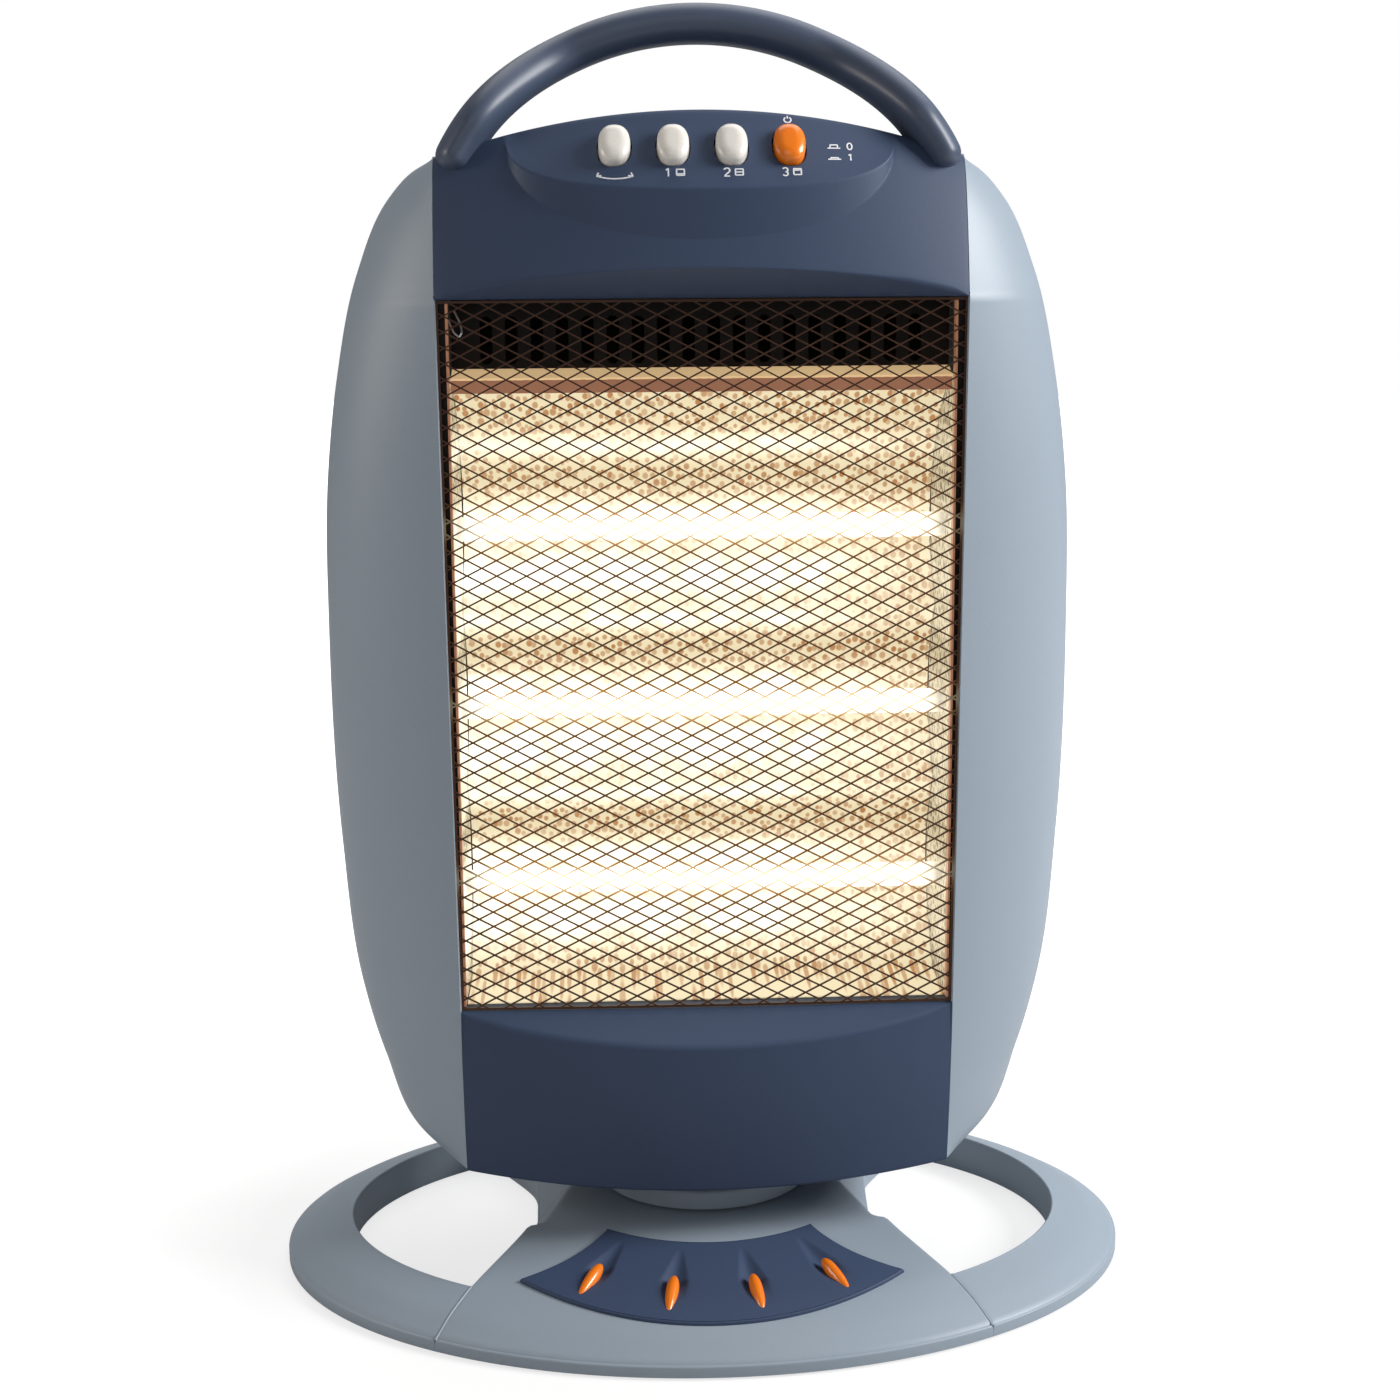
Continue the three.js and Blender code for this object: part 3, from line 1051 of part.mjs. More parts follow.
// The guard: a net of diamonds inside a border, bent forward between its edges.
function grilleGeometry() {
  const inner = PANEL_HALF_WIDTH_LOW - GRILLE_BORDER;
  const low = WINDOW_BOTTOM + SEAT + GRILLE_BORDER;
  const high = WINDOW_TOP - SEAT - GRILLE_BORDER;
  const cellWidth = (2 * inner) / GRILLE_COLUMNS;
  const cellHeight = (high - low) / GRILLE_ROWS;
  const shrink = GRILLE_STRAND / 2;
  const holes = [];
  const crossed = ([px, pz], [qx, qz], [rx, rz]) => (qx - px) * (rz - qz) - (qz - pz) * (rx - qx);
  const turns = (before, at, after) => Math.abs(crossed(before, at, after)) > 1e-6;
  const around = (points, i) => {
    const count = points.length;
    return [-1, 0, 1].map((step) => points[(i + step + count) % count]);
  };
  const same = ([px, pz], [qx, qz]) => px === qx && pz === qz;
  const long = Math.hypot(cellWidth, cellHeight);
  const trimX = (shrink * long) / cellHeight;
  const trimZ = (shrink * long) / cellWidth;
  for (let row = 0; row <= 2 * GRILLE_ROWS; row += 1) {
    const z = low + (row * cellHeight) / 2;
    const odd = row % 2;
    for (let column = 0; column < GRILLE_COLUMNS + 1 - odd; column += 1) {
      const x = -inner + (column + odd / 2) * cellWidth;
      const left = Math.max(-inner, x - cellWidth / 2 + trimX);
      const right = Math.min(inner, x + cellWidth / 2 - trimX);
      const bottom = Math.max(low, z - cellHeight / 2 + trimZ);
      const top = Math.min(high, z + cellHeight / 2 - trimZ);
      const points = [[x, bottom], [right, z], [x, top], [left, z]];
      const distinct = points.filter((p, i) => points.findIndex((q) => same(p, q)) === i);
      holes.push(distinct.filter((_, i) => turns(...around(distinct, i))).reverse());
    }
  }
  const geometry = geometryOf(slottedSheet(
    PANEL_HALF_WIDTH_LOW + SEAT, panelHalfWidth(rearHigh) - SEAT, rearLow, rearHigh, -WINDOW_DEPTH, SHEET,
    holes,
  ));
  const position = geometry.attributes.position;
  for (let i = 0; i < position.count; i += 1) {
    const across = 1 - Math.min(1, Math.abs(position.getX(i)) / PANEL_HALF_WIDTH_HIGH) ** 2;
    const up = Math.sin((Math.PI * (position.getZ(i) - rearLow)) / (rearHigh - rearLow));
    const forward = across * (GRILLE_BULGE_EDGE + GRILLE_BULGE * Math.max(0, up));
    position.setY(i, position.getY(i) - forward);
  }
  return geometry;
}
place(head, 'grille', grilleGeometry(), 'bronzeWire');

// ---------------------------------------------------------------- drive
place(base, 'spindle_nut', post(0, 0, nutBottom, nutTop, NUT_RADIUS, 6)
  .subtract(post(0, 0, LOW, HIGH, SPINDLE_RADIUS + SEAT)), 'steel');

const slotNear = Math.hypot(CRANK_OFFSET, CRANK_THROW) - CRANK_PIN_RADIUS - CRANK_PIN_SLACK;
const slotFar = CRANK_OFFSET + CRANK_THROW + CRANK_PIN_RADIUS + CRANK_PIN_SLACK;
const slotHalf = CRANK_PIN_RADIUS + CRANK_PIN_SLACK;
const yokeReach = slotFar + YOKE_END;
place(base, 'crank_yoke', minus(union([
  post(0, 0, yokeBottom, yokeTop, YOKE_HUB_RADIUS, 24),
  box(-YOKE_WIDTH / 2, 0, yokeBottom, YOKE_WIDTH / 2, yokeReach, yokeTop),
]), [
  post(0, 0, LOW, HIGH, SPINDLE_RADIUS + SEAT),
  box(-slotHalf, slotNear, LOW, slotHalf, slotFar, HIGH),
]), 'steel');

const crankBottom = spindleTop + CRANK_LIFT;
const crankTop = crankBottom + CRANK_THICKNESS;
const crankShape = minus(union([
  post(0, 0, crankBottom, crankTop, CRANK_HUB_RADIUS),
  post(0, CRANK_THROW, crankBottom, crankTop, CRANK_ARM_HALF_WIDTH, 16),
  box(-CRANK_ARM_HALF_WIDTH, 0, crankBottom, CRANK_ARM_HALF_WIDTH, CRANK_THROW, crankTop),
  post(0, CRANK_THROW, yokeBottom - 0.5, crankBottom + 1, CRANK_PIN_RADIUS, 12),
]), [post(0, 0, LOW, HIGH, MOTOR_SHAFT_RADIUS + SEAT, 16)]);
place(head, 'crank', crankShape, 'whitePlastic', [0, CRANK_OFFSET, 0]);

const bracketBottom = crankTop + BRACKET_LIFT;
const bracketTop = bracketBottom + BRACKET_THICKNESS;
const bracketFoot = coverBottomAt(BRACKET_HALF_WIDTH) + WALL + SEAT;
const legAt = BRACKET_HALF_WIDTH - BRACKET_THICKNESS / 2;
const legNear = CRANK_OFFSET - BRACKET_LEG_HALF_DEPTH;
const legFar = CRANK_OFFSET + BRACKET_LEG_HALF_DEPTH;
const bracket = minus(union([
  box(-BRACKET_HALF_WIDTH, CRANK_OFFSET - BRACKET_DEPTH / 2, bracketBottom,
    BRACKET_HALF_WIDTH, CRANK_OFFSET + BRACKET_DEPTH / 2, bracketTop),
  ...SIDES.map((side) => box(
    side * legAt - BRACKET_THICKNESS / 2, legNear, bracketFoot,
    side * legAt + BRACKET_THICKNESS / 2, legFar, bracketTop,
  )),
]), [post(0, CRANK_OFFSET, LOW, HIGH, MOTOR_SHAFT_RADIUS + 2)]);
place(head, 'motor_bracket', bracket, 'steel');

const motorBottom = bracketTop + SEAT;
place(head, 'swivel_motor', union([
  post(0, 0, motorBottom, motorBottom + MOTOR_HEIGHT, MOTOR_RADIUS, 28),
  post(0, 0, crankBottom, motorBottom + 1, MOTOR_SHAFT_RADIUS, 14),
]), 'steel', [0, CRANK_OFFSET, 0]);

export default heater;
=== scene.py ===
"""Halogen heater: fine mouldings, guard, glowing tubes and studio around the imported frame.

Shapes are worked out in millimetres, +Z up, with the front towards -Y, and are put into the
meshes in metres. Every piece is a surface over a grid of two parameters.
"""

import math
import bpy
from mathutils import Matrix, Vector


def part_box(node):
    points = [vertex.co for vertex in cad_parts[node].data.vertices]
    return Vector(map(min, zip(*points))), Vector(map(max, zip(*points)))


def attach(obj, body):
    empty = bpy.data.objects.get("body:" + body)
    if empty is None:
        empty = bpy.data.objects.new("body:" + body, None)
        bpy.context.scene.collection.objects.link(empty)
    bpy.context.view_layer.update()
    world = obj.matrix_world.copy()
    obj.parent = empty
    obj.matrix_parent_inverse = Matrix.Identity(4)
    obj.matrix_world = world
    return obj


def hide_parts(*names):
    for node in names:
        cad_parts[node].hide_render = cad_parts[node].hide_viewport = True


bl_info = {
    "name": "Halogen heater",
    "version": (1, 0, 0),
    "blender": (4, 5, 0),
    "location": "View3D > Sidebar > Heater",
    "description": "Mouldings, guard, glowing tubes and studio of a swivelling halogen heater",
    "category": "Object",
}

import bpy
import bmesh
import numpy as np
from bpy.props import FloatProperty, FloatVectorProperty, PointerProperty
from mathutils import Matrix, Vector

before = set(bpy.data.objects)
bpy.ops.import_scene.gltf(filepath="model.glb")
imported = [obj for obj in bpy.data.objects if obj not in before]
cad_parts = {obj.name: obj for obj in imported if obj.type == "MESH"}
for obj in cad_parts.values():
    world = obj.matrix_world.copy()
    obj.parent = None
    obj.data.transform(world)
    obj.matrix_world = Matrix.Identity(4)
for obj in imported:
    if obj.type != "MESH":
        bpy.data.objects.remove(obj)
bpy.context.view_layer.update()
MM = 0.001


def low(node):
    """Lowest corner of a node of the frame, in millimetres."""
    return np.array(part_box(node)[0]) / MM


def high(node):
    """Highest corner of a node of the frame, in millimetres."""
    return np.array(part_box(node)[1]) / MM


# ------------------------------------------------------------------ dimensions, in millimetres
SEAT = 0.3
SKIN = 1.6  # thickness of the fine mouldings' walls
SHELL_SKIN = 1.2
SHEET = 0.6
EDGE = 1.0  # radius of moulded edges
WING_EDGE = 0.8
INSERT_EDGE = 0.7
SHARP_ANGLE = 32  # edges that turn by more, in degrees, stay sharp
HANDS = ((-1, "left"), (1, "right"))

# base
RING_WIDTH_SIDE = 29
RING_WIDTH_FRONT = 27
BEVEL_WIDTH = 12
RIM_HEIGHT = 6
CREST_HEIGHT = 13
HUB_RADIUS = 50
WAIST_HALF_WIDTH = 75
WAIST_HALF_LENGTH = 42
WAIST_ROUND = 9
FAN_HALF_WIDTH = 100
FLANK_FOOT_HEIGHT = 9
FLANK_SLOPE = 19 / 16
INSERT_PROUD = 1.6
INSERT_SIDE_BOW = 5
INSERT_REAR = 70.5
INSERT_FRONT_CORNER = (80, 85.5)
INSERT_REAR_CORNER = (43.5, 56)
INSERT_POCKET = 2.6
ACCENT_ANGLES = (-29.1, -9.7, 9.7, 29.1)
ACCENT_REACH = 104.5
ACCENT_LENGTH = 20
ACCENT_WIDTH = 5.2
GROOVE_START = 76
GROOVE_DEPTH = 2.8
BEAD_RADIUS = 0.75
BEAD_SINK = 0.4
ACCENT_HEIGHT = 3.0
FOOT_RADIUS = 8
FOOT_HEIGHT = 3.2
TURNTABLE_DISC = 9
TURNTABLE_NECK = 30
TURNTABLE_BORE = 8.5

# head
HEAD_OUTLINE = (
    (104, 51), (115, 54.5), (126, 61), (140.6, 94), (149.2, 126), (155.9, 190), (158.2, 283),
    (156.5, 343), (151, 387), (140.9, 430.6), (127.6, 459.6), (117.6, 470.4), (107, 476),
)
PANEL_HALF_WIDTH_LOW = 102.6
PANEL_HALF_WIDTH_HIGH = 106.4
PANEL_MID_WIDTH = (PANEL_HALF_WIDTH_LOW + PANEL_HALF_WIDTH_HIGH) / 2
EDGE_DEPTH_FRONT = 55
EDGE_DEPTH_REAR = 50
EDGE_EASE = 6
REAR_EASE = 22
BOW_FRONT = 19
BOW_REAR = 7
WINDOW_BOTTOM = 127
WINDOW_TOP = 420
WINDOW_DEPTH = 54
CRESCENT_TOP = 12
CRESCENT_BOTTOM = 11
COVER_BOTTOM = 54
COVER_BOTTOM_ARCH = 3.5
COVER_BELLY = 88
COVER_APRON = 3  # how far the front edge of the lower cover hangs below its floor
RIDGE_HEIGHT = 493
RIDGE_DROP = 17.5
RIDGE_DEPTH = 44
RIDGE_DEPTH_SIDE = 30
RIDGE_LIP = 3.6
DOME_FULLNESS = 0.4
PLATEAU_HALF_WIDTH = 75.5
PLATEAU_DROP = 27.4
CHIN_DROP = 46.4
CHIN_LEAN = 1
CROWN = 1

HANDLE_CENTRE_HEIGHT = 439.5
HANDLE_HALF_SPAN = 106.6
HANDLE_RISE = 90
HANDLE_THICKNESS = 16.4
HANDLE_DEPTH = 24
HANDLE_END_ANGLE = 19
HANDLE_TOE = 33  # how far the ends reach forward over the shoulders
HANDLE_TOE_ANGLES = (32, 64)

BUTTON_PITCH = 22.8
BUTTON_STEPS = (-1.5, -0.5, 0.5, 1.5)
BUTTON_HEIGHT = 478
BUTTON_WIDTH = 12.6
BUTTON_LENGTH = 18
BUTTON_PROUD = 5.6
BUTTON_GAP = 0.6
BUTTON_SIDE = 0.42  # share of a button's height below its dome
BUTTON_FLANGE = 1.6
FLANGE_LEVELS = (-7, -5)
STEM_WIDTH = 5.2
STEM_FOOT = -16
HOLE_LEVELS = (-8, 10)
MARK_STROKE = 0.6
MARK_LEVELS = (-0.2, 0.12)  # foot and top of the printed marks, from the panel
GAUGE_HALF = 1.5
STATE_PLACE = 52  # signs of the two states, from the centre line

# radiant window
TUBE_HEIGHTS = (326, 251, 175)
TUBE_DEPTH = 25
TUBE_RADIUS = 5
REFLECTOR_BACK = 12
REFLECTOR_RIDGE = 18
REFLECTOR_FRONT = 47
REFLECTOR_TOP = 388
REFLECTOR_BOTTOM = 128.3
REFLECTOR_HALF_WIDTH = 100.6
REFLECTOR_FLANGE = 5
DIMPLE_PITCH = 5.2
DIMPLE_DEPTH = 0.4
PEBBLE_PITCH = 3.3
VENT_BOTTOM = 389.3
VENT_DEPTH = 37
DIAMOND_WIDTH = 11.7
DIAMOND_HEIGHT = 6.25
STRAND_WIDTH = 0.62
STRAND_DEPTH = 0.7
GUARD_BULGE = 7
GUARD_BULGE_EDGE = 1.5
COIL_RADIUS = 1.0
COIL_PITCH = 2.4
COIL_LENGTH = 170
COIL_WIRE = 0.35
TUBE_FADE = (88, 100)  # where the glow fades, from the middle
TRIM_INSET = 1.5
CLIP_WIRE = 0.45
CLIP_KNOTS = (
    (-103.4, -47.0, 416.5), (-101.8, -49.0, 414.5), (-100.2, -50.0, 411.0), (-98.6, -50.4, 407.2),
    (-96.6, -50.4, 405.4), (-95.4, -50.0, 407.4), (-96.2, -49.4, 411.2), (-98.4, -48.6, 415.6),
)
REAR_SCREW_HEIGHTS = (72, 110, 432)
REAR_SCREW_REACH = 88

# the photograph's view
FOCAL_PIXELS = 2276
IMAGE_PIXELS = 1400
SENSOR_WIDTH = 36
CAMERA_DISTANCE = 967
CAMERA_HEIGHT = 439
CAMERA_PITCH = 11.2
CAMERA_TURN = 2.4
CAMERA_ROLL = -0.4
GUARD_TO_TUBES = 33  # depth between guard and tubes
SURROUNDINGS = 0.14
FLOOR_GREY = 0.52
FLOOR_GLOW = 1.6
FLOOR_FADE = (0.20, 0.60)  # from here to there, in metres, the floor turns plain white
FLOOR_SHARE = 0.46  # of plain white under the heater
FLOOR_DROP = 0.05

RIM = (high("base_wing_right")[0], high("base_bridge")[1])
CREST = (RIM[0] - BEVEL_WIDTH, RIM[1] - BEVEL_WIDTH)
INNER = (RIM[0] - RING_WIDTH_SIDE, RIM[1] - RING_WIDTH_FRONT)
HUB_HEIGHT = high("base_bridge")[2]
INNER_HEIGHT = high("base_wing_right")[2]
FLOOR_GAP = low("base_bridge")[2]


# ------------------------------------------------------------------ settings that a user may change
class HeaterSizes(bpy.types.PropertyGroup):
    """Sizes of details that can change without the frame."""

    strand: FloatProperty(
        name="Guard strand", description="Width of one strand of the guard",
        default=STRAND_WIDTH * MM, unit="LENGTH",
    )
    dimple: FloatProperty(
        name="Dimple depth", description="Depth of the hammered pattern in the reflector",
        default=DIMPLE_DEPTH * MM, unit="LENGTH",
    )
    edge: FloatProperty(
        name="Edge radius", description="Radius of the moulded edges of base and covers",
        default=EDGE * MM, unit="LENGTH",
    )
    glow: FloatProperty(
        name="Glow", description="Strength of the light that the quartz tubes give", default=2.6, min=0,
    )
    key_light: FloatProperty(
        name="Key light", description="Power of the large lamp at the right", default=92, unit="POWER",
    )


def colour_property(name, description, value):
    """A colour setting with its default."""
    return FloatVectorProperty(
        name=name, description=description, subtype="COLOR", size=3, default=value, min=0, max=1,
    )


class HeaterColours(bpy.types.PropertyGroup):
    """Colours of the finishes, in linear light."""

    dark: colour_property("Dark plastic", "Blue-grey covers and insert", (0.040, 0.062, 0.118))
    pale: colour_property("Pale plastic", "Side shells, base and turntable", (0.285, 0.340, 0.400))
    handle: colour_property("Handle plastic", "Carrying handle", (0.060, 0.080, 0.128))
    ivory: colour_property("Ivory plastic", "Three of the buttons", (0.80, 0.76, 0.70))
    orange: colour_property("Orange plastic", "One button and the accents", (0.93, 0.21, 0.006))
    ink: colour_property("Printed marks", "Ink on the control panel", (0.78, 0.79, 0.82))
    # The plating's colour darkened by painted shade, for strands lit from behind.
    wire: colour_property("Guard wire", "Plated strands of the guard", (0.060, 0.022, 0.009))
    brown: colour_property("Brown steel", "Plate above the reflector", (0.008, 0.005, 0.003))
    # Painted glow of the flange and the window strips: their reflection of the tubes in warm light.
    band: colour_property("Reflector flange", "Reflector's edge in warm light", (0.33, 0.150, 0.085))
    # Painted reflection of the tubes' glow, on the reflector between its pebbles and on the guard's
    # strands.
    cream: colour_property("Lit reflector", "Reflector between its pebbles", (1.0, 0.86, 0.56))
    # Painted shade: the reflector's pebbles, as dimples that face away from a tube.
    pebble: colour_property("Pebbles", "Dimples that face away from a tube", (0.52, 0.21, 0.055))
    glow: colour_property("Glowing quartz", "Light of the tubes", (1.0, 0.93, 0.78))


def sizes():
    """The sizes that a user can change."""
    return bpy.context.scene.heater_sizes


def colours():
    """The colours that a user can change."""
    return bpy.context.scene.heater_colours


# ------------------------------------------------------------------ grids and meshes
def spread(*values):
    """Arrays stacked as the last axis of a grid of points."""
    return np.stack(np.broadcast_arrays(*values), -1).astype(float)


def rounded(points, radii, steps=4):
    """A row of points with its corners replaced by parabolic arcs.

    points is (k, n, 3): n profiles of k points. Each corner of radius r becomes a quadratic
    curve from r before it to r after it, and r is at most 0.45 of the shorter side there.
    """
    rows = [points[:1]]
    t = np.linspace(0, 1, steps + 1)[:, None, None]
    for k in range(1, len(points) - 1):
        if not radii[k]:
            rows.append(points[k:k + 1])
            continue
        before, after = points[k - 1] - points[k], points[k + 1] - points[k]
        reach_before = np.linalg.norm(before, axis=-1, keepdims=True)
        reach_after = np.linalg.norm(after, axis=-1, keepdims=True)
        radius = np.minimum(radii[k], 0.45 * np.minimum(reach_before, reach_after))
        start = points[k] + before * radius / np.maximum(reach_before, 1e-9)
        end = points[k] + after * radius / np.maximum(reach_after, 1e-9)
        rows.append((1 - t) ** 2 * start + 2 * t * (1 - t) * points[k] + t ** 2 * end)
    rows.append(points[-1:])
    return np.concatenate(rows)


def grid_normals(points):
    """Unit normals of a grid: the cross product of its two directions."""
    across = np.cross(np.gradient(points, axis=0), np.gradient(points, axis=1))
    return across / np.maximum(np.linalg.norm(across, axis=-1, keepdims=True), 1e-9)


def rim_strip(first, second):
    """The closed strip between the rims of two grids."""
    rims = [np.concatenate([g[0], g[1:, -1], g[-1, -2::-1], g[-2:0:-1, 0]]) for g in (first, second)]
    return np.stack(rims), True


def shell(points, wall, side):
    """A skin, a parallel skin at a wall's distance, and the strip round their rim.

    side is 1 if the cross product of the grid's directions points out of the piece, else -1.
    """
    inner = points - side * grid_normals(points) * wall
    return [(points, False), (inner[:, ::-1], False), rim_strip(inner, points)]


def capped(rings):
    """Rings with both ends drawn to their centres, so that the surface is closed."""
    ends = [np.broadcast_to(ring.mean(0), ring.shape)[None] for ring in (rings[0], rings[-1])]
    return [(np.concatenate([ends[0], rings, ends[1]]), True)]


def revolved(profile, steps=96):
    """A profile of (radius, height) points turned round the Z axis."""
    profile = np.array(profile, float)
    turn = np.linspace(0, 2 * np.pi, steps, endpoint=False)
    return spread(
        profile[:, :1] * np.cos(turn), profile[:, :1] * np.sin(turn), profile[:, 1:] + 0 * turn,
    )


def round_profile(corners, radii, steps=5):
    """A flat line of points with rounded corners, as (radius, height)."""
    flat = np.array([(a, 0, b) for a, b in corners], float)[:, None]
    return rounded(flat, radii, steps)[:, 0][:, [0, 2]]


def tubes(centres, sections):
    """Closed bars, as one mesh: centres is (bars, steps, 3), sections (bars, steps, sides, 3)."""
    middle = centres[:, :, None] + 0 * sections
    return [(np.concatenate([middle[:, :1], sections, middle[:, -1:]], 1), True)]


def round_bar(line, radius, upright, sides):
    """A round bar along a line: rings square to it, turned from an upright direction."""
    run = np.gradient(line, axis=0)
    run /= np.linalg.norm(run, axis=1, keepdims=True)
    aside = np.cross(run, upright)
    aside /= np.linalg.norm(aside, axis=1, keepdims=True)
    up = np.cross(run, aside)
    turn = np.linspace(0, 2 * np.pi, sides, endpoint=False)[:, None]
    return capped(line[:, None] + radius * (aside[:, None] * np.cos(turn) + up[:, None] * np.sin(turn)))


def mesh_of(name, patches, sharp=SHARP_ANGLE):
    """A mesh from grids in millimetres, with doubles merged, faces out and sharp edges kept.

    A patch is (grid, closed) and its faces join neighbours along its last two axes; closed
    joins the last column to the first.
    """
    places, faces, start = [], [], 0
    for grid, closed in patches:
        sheets = grid.reshape((-1,) + grid.shape[-3:])
        count, rows, columns = sheets.shape[:3]
        s, i, j = np.meshgrid(
            np.arange(count), np.arange(rows - 1), np.arange(columns - (not closed)), indexing="ij",
        )
        base, beside = start + s * rows * columns, (j + 1) % columns
        row, next_row = i * columns, (i + 1) * columns
        corners = (row + j, next_row + j, next_row + beside, row + beside)
        faces.append(np.stack([base + corner for corner in corners], -1).reshape(-1, 4))
        places.append(sheets.reshape(-1, 3))
        start += count * rows * columns
    places, faces = np.concatenate(places) * MM, np.concatenate(faces)
    corner = places[faces]
    volume = (corner[:, 0] * np.cross(corner[:, 1], corner[:, 2])).sum()
    volume += (corner[:, 0] * np.cross(corner[:, 2], corner[:, 3])).sum()
    if volume < 0:
        faces = faces[:, ::-1]
    mesh = bpy.data.meshes.new(name)
    mesh.from_pydata(places.tolist(), [], faces.tolist())
    work = bmesh.new()
    work.from_mesh(mesh)
    bmesh.ops.remove_doubles(work, verts=work.verts, dist=2e-6)
    bmesh.ops.dissolve_degenerate(work, edges=work.edges, dist=1e-7)
    work.to_mesh(mesh)
    work.free()
    mesh.shade_smooth()
    mesh.set_sharp_from_angle(angle=math.radians(sharp))
    return mesh


def piece(name, patches, body, material, replaces=(), sharp=SHARP_ANGLE):
    """A finished piece: its mesh, its finish, the body it rides on and the nodes it stands for."""
    mesh = patches if isinstance(patches, bpy.types.Mesh) else mesh_of(name, patches, sharp)
    made = bpy.data.objects.new(name, mesh)
    bpy.context.scene.collection.objects.link(made)
    made.data.materials.append(material)
    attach(made, body)
    if replaces:
        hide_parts(*replaces)
    return made


def dress(material, *nodes):
    """Gives nodes of the frame a finish."""
    for node in nodes:
        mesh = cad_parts[node].data
        mesh.materials.clear()
        mesh.materials.append(material)


# ------------------------------------------------------------------ finishes
def feed(tree, socket, value):
    """Gives a socket its value: a link where the value is another socket, else a constant."""
    if isinstance(value, bpy.types.NodeSocket):
        tree.links.new(value, socket)
    else:
        socket.default_value = value


def fill(tree, node, **values):
    """Feeds inputs of a node by name; an underscore stands for a space."""
    for key, value in values.items():
        feed(tree, node.inputs[key.replace("_", " ")], value)
    return node


def add(tree, kind, **values):
    """A node with its properties set and its inputs fed."""
    node = tree.nodes.new(kind)
    for key, value in values.items():
        if hasattr(node, key):
            setattr(node, key, value)
        else:
            fill(tree, node, **{key: value})
    return node


def math_node(tree, operation, first, second=None):
    """A Math node on sockets or numbers; returns its output socket."""
    node = add(tree, "ShaderNodeMath", operation=operation)
    feed(tree, node.inputs[0], first)
    if second is not None:
        feed(tree, node.inputs[1], second)
    return node.outputs[0]


def product(tree, first, *others):
    """Sockets and numbers multiplied; returns the last socket."""
    for other in others:
        first = math_node(tree, "MULTIPLY", first, other)
    return first


def total(tree, first, *others):
    """Sockets and numbers added up; returns the last socket."""
    for other in others:
        first = math_node(tree, "ADD", first, other)
    return first


def remap(tree, value, from_low, from_high, to_low, to_high):
    """A Map Range node; returns its output socket."""
    node = tree.nodes.new("ShaderNodeMapRange")
    for socket, given in zip(node.inputs, (value, from_low, from_high, to_low, to_high)):
        feed(tree, socket, given)
    return node.outputs[0]


def scaled(tree, colour, factor):
    """A colour times a factor; returns its socket."""
    node = add(tree, "ShaderNodeVectorMath", operation="SCALE")
    feed(tree, node.inputs[0], colour)
    feed(tree, node.inputs["Scale"], factor)
    return node.outputs[0]


def mixed(tree, factor, first, second):
    """A mix of two colours, each a socket or a constant; returns its socket."""
    node = add(tree, "ShaderNodeMix", data_type="RGBA")
    feed(tree, node.inputs[0], factor)
    for socket, colour in zip(node.inputs[6:8], (first, second)):
        feed(tree, socket, colour if isinstance(colour, bpy.types.NodeSocket) else (*colour, 1))
    return node.outputs[2]


def coordinate(tree, kind="Object"):
    """A texture coordinate's socket."""
    return add(tree, "ShaderNodeTexCoord").outputs[kind]


def noise(tree, place, scale, **values):
    """A Noise texture's value at a place, as a socket."""
    return add(tree, "ShaderNodeTexNoise", Vector=place, Scale=scale, **values).outputs["Fac"]


def axes(tree, kind="Object"):
    """X, Y and Z of a texture coordinate, as sockets."""
    return add(tree, "ShaderNodeSeparateXYZ", Vector=coordinate(tree, kind)).outputs


def bells(tree, value, centres, width):
    """The sum of a bell curve of a width round each centre, in millimetres; returns its socket."""
    curves = []
    for centre in centres:
        away = math_node(tree, "DIVIDE", math_node(tree, "SUBTRACT", value, centre * MM), width * MM)
        curves.append(math_node(tree, "POWER", math.e, product(tree, away, away, -1.0)))
    return total(tree, *curves)


def finish_group(name, **defaults):
    """An empty group that turns a colour and named numbers into Colour, Roughness and Height.

    Gives the group, its given sockets and its result node.
    """
    group = bpy.data.node_groups.new(name, "ShaderNodeTree")
    new_socket = group.interface.new_socket
    colour = new_socket("Colour", in_out="INPUT", socket_type="NodeSocketColor")
    colour.default_value = (0.5, 0.5, 0.5, 1)
    for label, default in defaults.items():
        socket = new_socket(label.replace("_", " "), in_out="INPUT", socket_type="NodeSocketFloat")
        socket.default_value = default
    new_socket("Colour", in_out="OUTPUT", socket_type="NodeSocketColor")
    for label in ("Roughness", "Height"):
        new_socket(label, in_out="OUTPUT", socket_type="NodeSocketFloat")
    return group, group.nodes.new("NodeGroupInput").outputs, group.nodes.new("NodeGroupOutput")


def moulded_group():
    """Moulded plastic: fine spark-eroded grain, faint flow marks and dust that settles on top.

    Colour is the base colour times 1 +- Variation after a broad noise, lighter where the surface
    faces up by Dust. Roughness adds the grain. Height is the grain alone.
    """
    found = bpy.data.node_groups.get("Moulded plastic")
    if found:
        return found
    group, given, result = finish_group(
        "Moulded plastic", Variation=0.05, Grain_scale=1400.0, Roughness=0.5, Dust=0.03,
    )
    place = coordinate(group)
    grain = noise(group, place, given["Grain scale"], Detail=3.0, Roughness=0.6)
    flow = noise(group, place, 9.0, Detail=4.0, Roughness=0.55, Distortion=0.6)
    swing = product(group, math_node(group, "SUBTRACT", flow, 0.5), given["Variation"])
    fleck = product(group, math_node(group, "SUBTRACT", grain, 0.5), 0.10)
    normal = add(group, "ShaderNodeNewGeometry").outputs["Normal"]
    up = add(group, "ShaderNodeSeparateXYZ", Vector=normal).outputs["Z"]
    dust = product(group, math_node(group, "MAXIMUM", up, 0.0), given["Dust"])
    level = total(group, swing, fleck, total(group, dust, 1.0))
    rough = total(group, given["Roughness"], product(group, fleck, 1.2), dust)
    fill(group, result, Colour=scaled(group, given["Colour"], level), Roughness=rough, Height=grain)
    return group


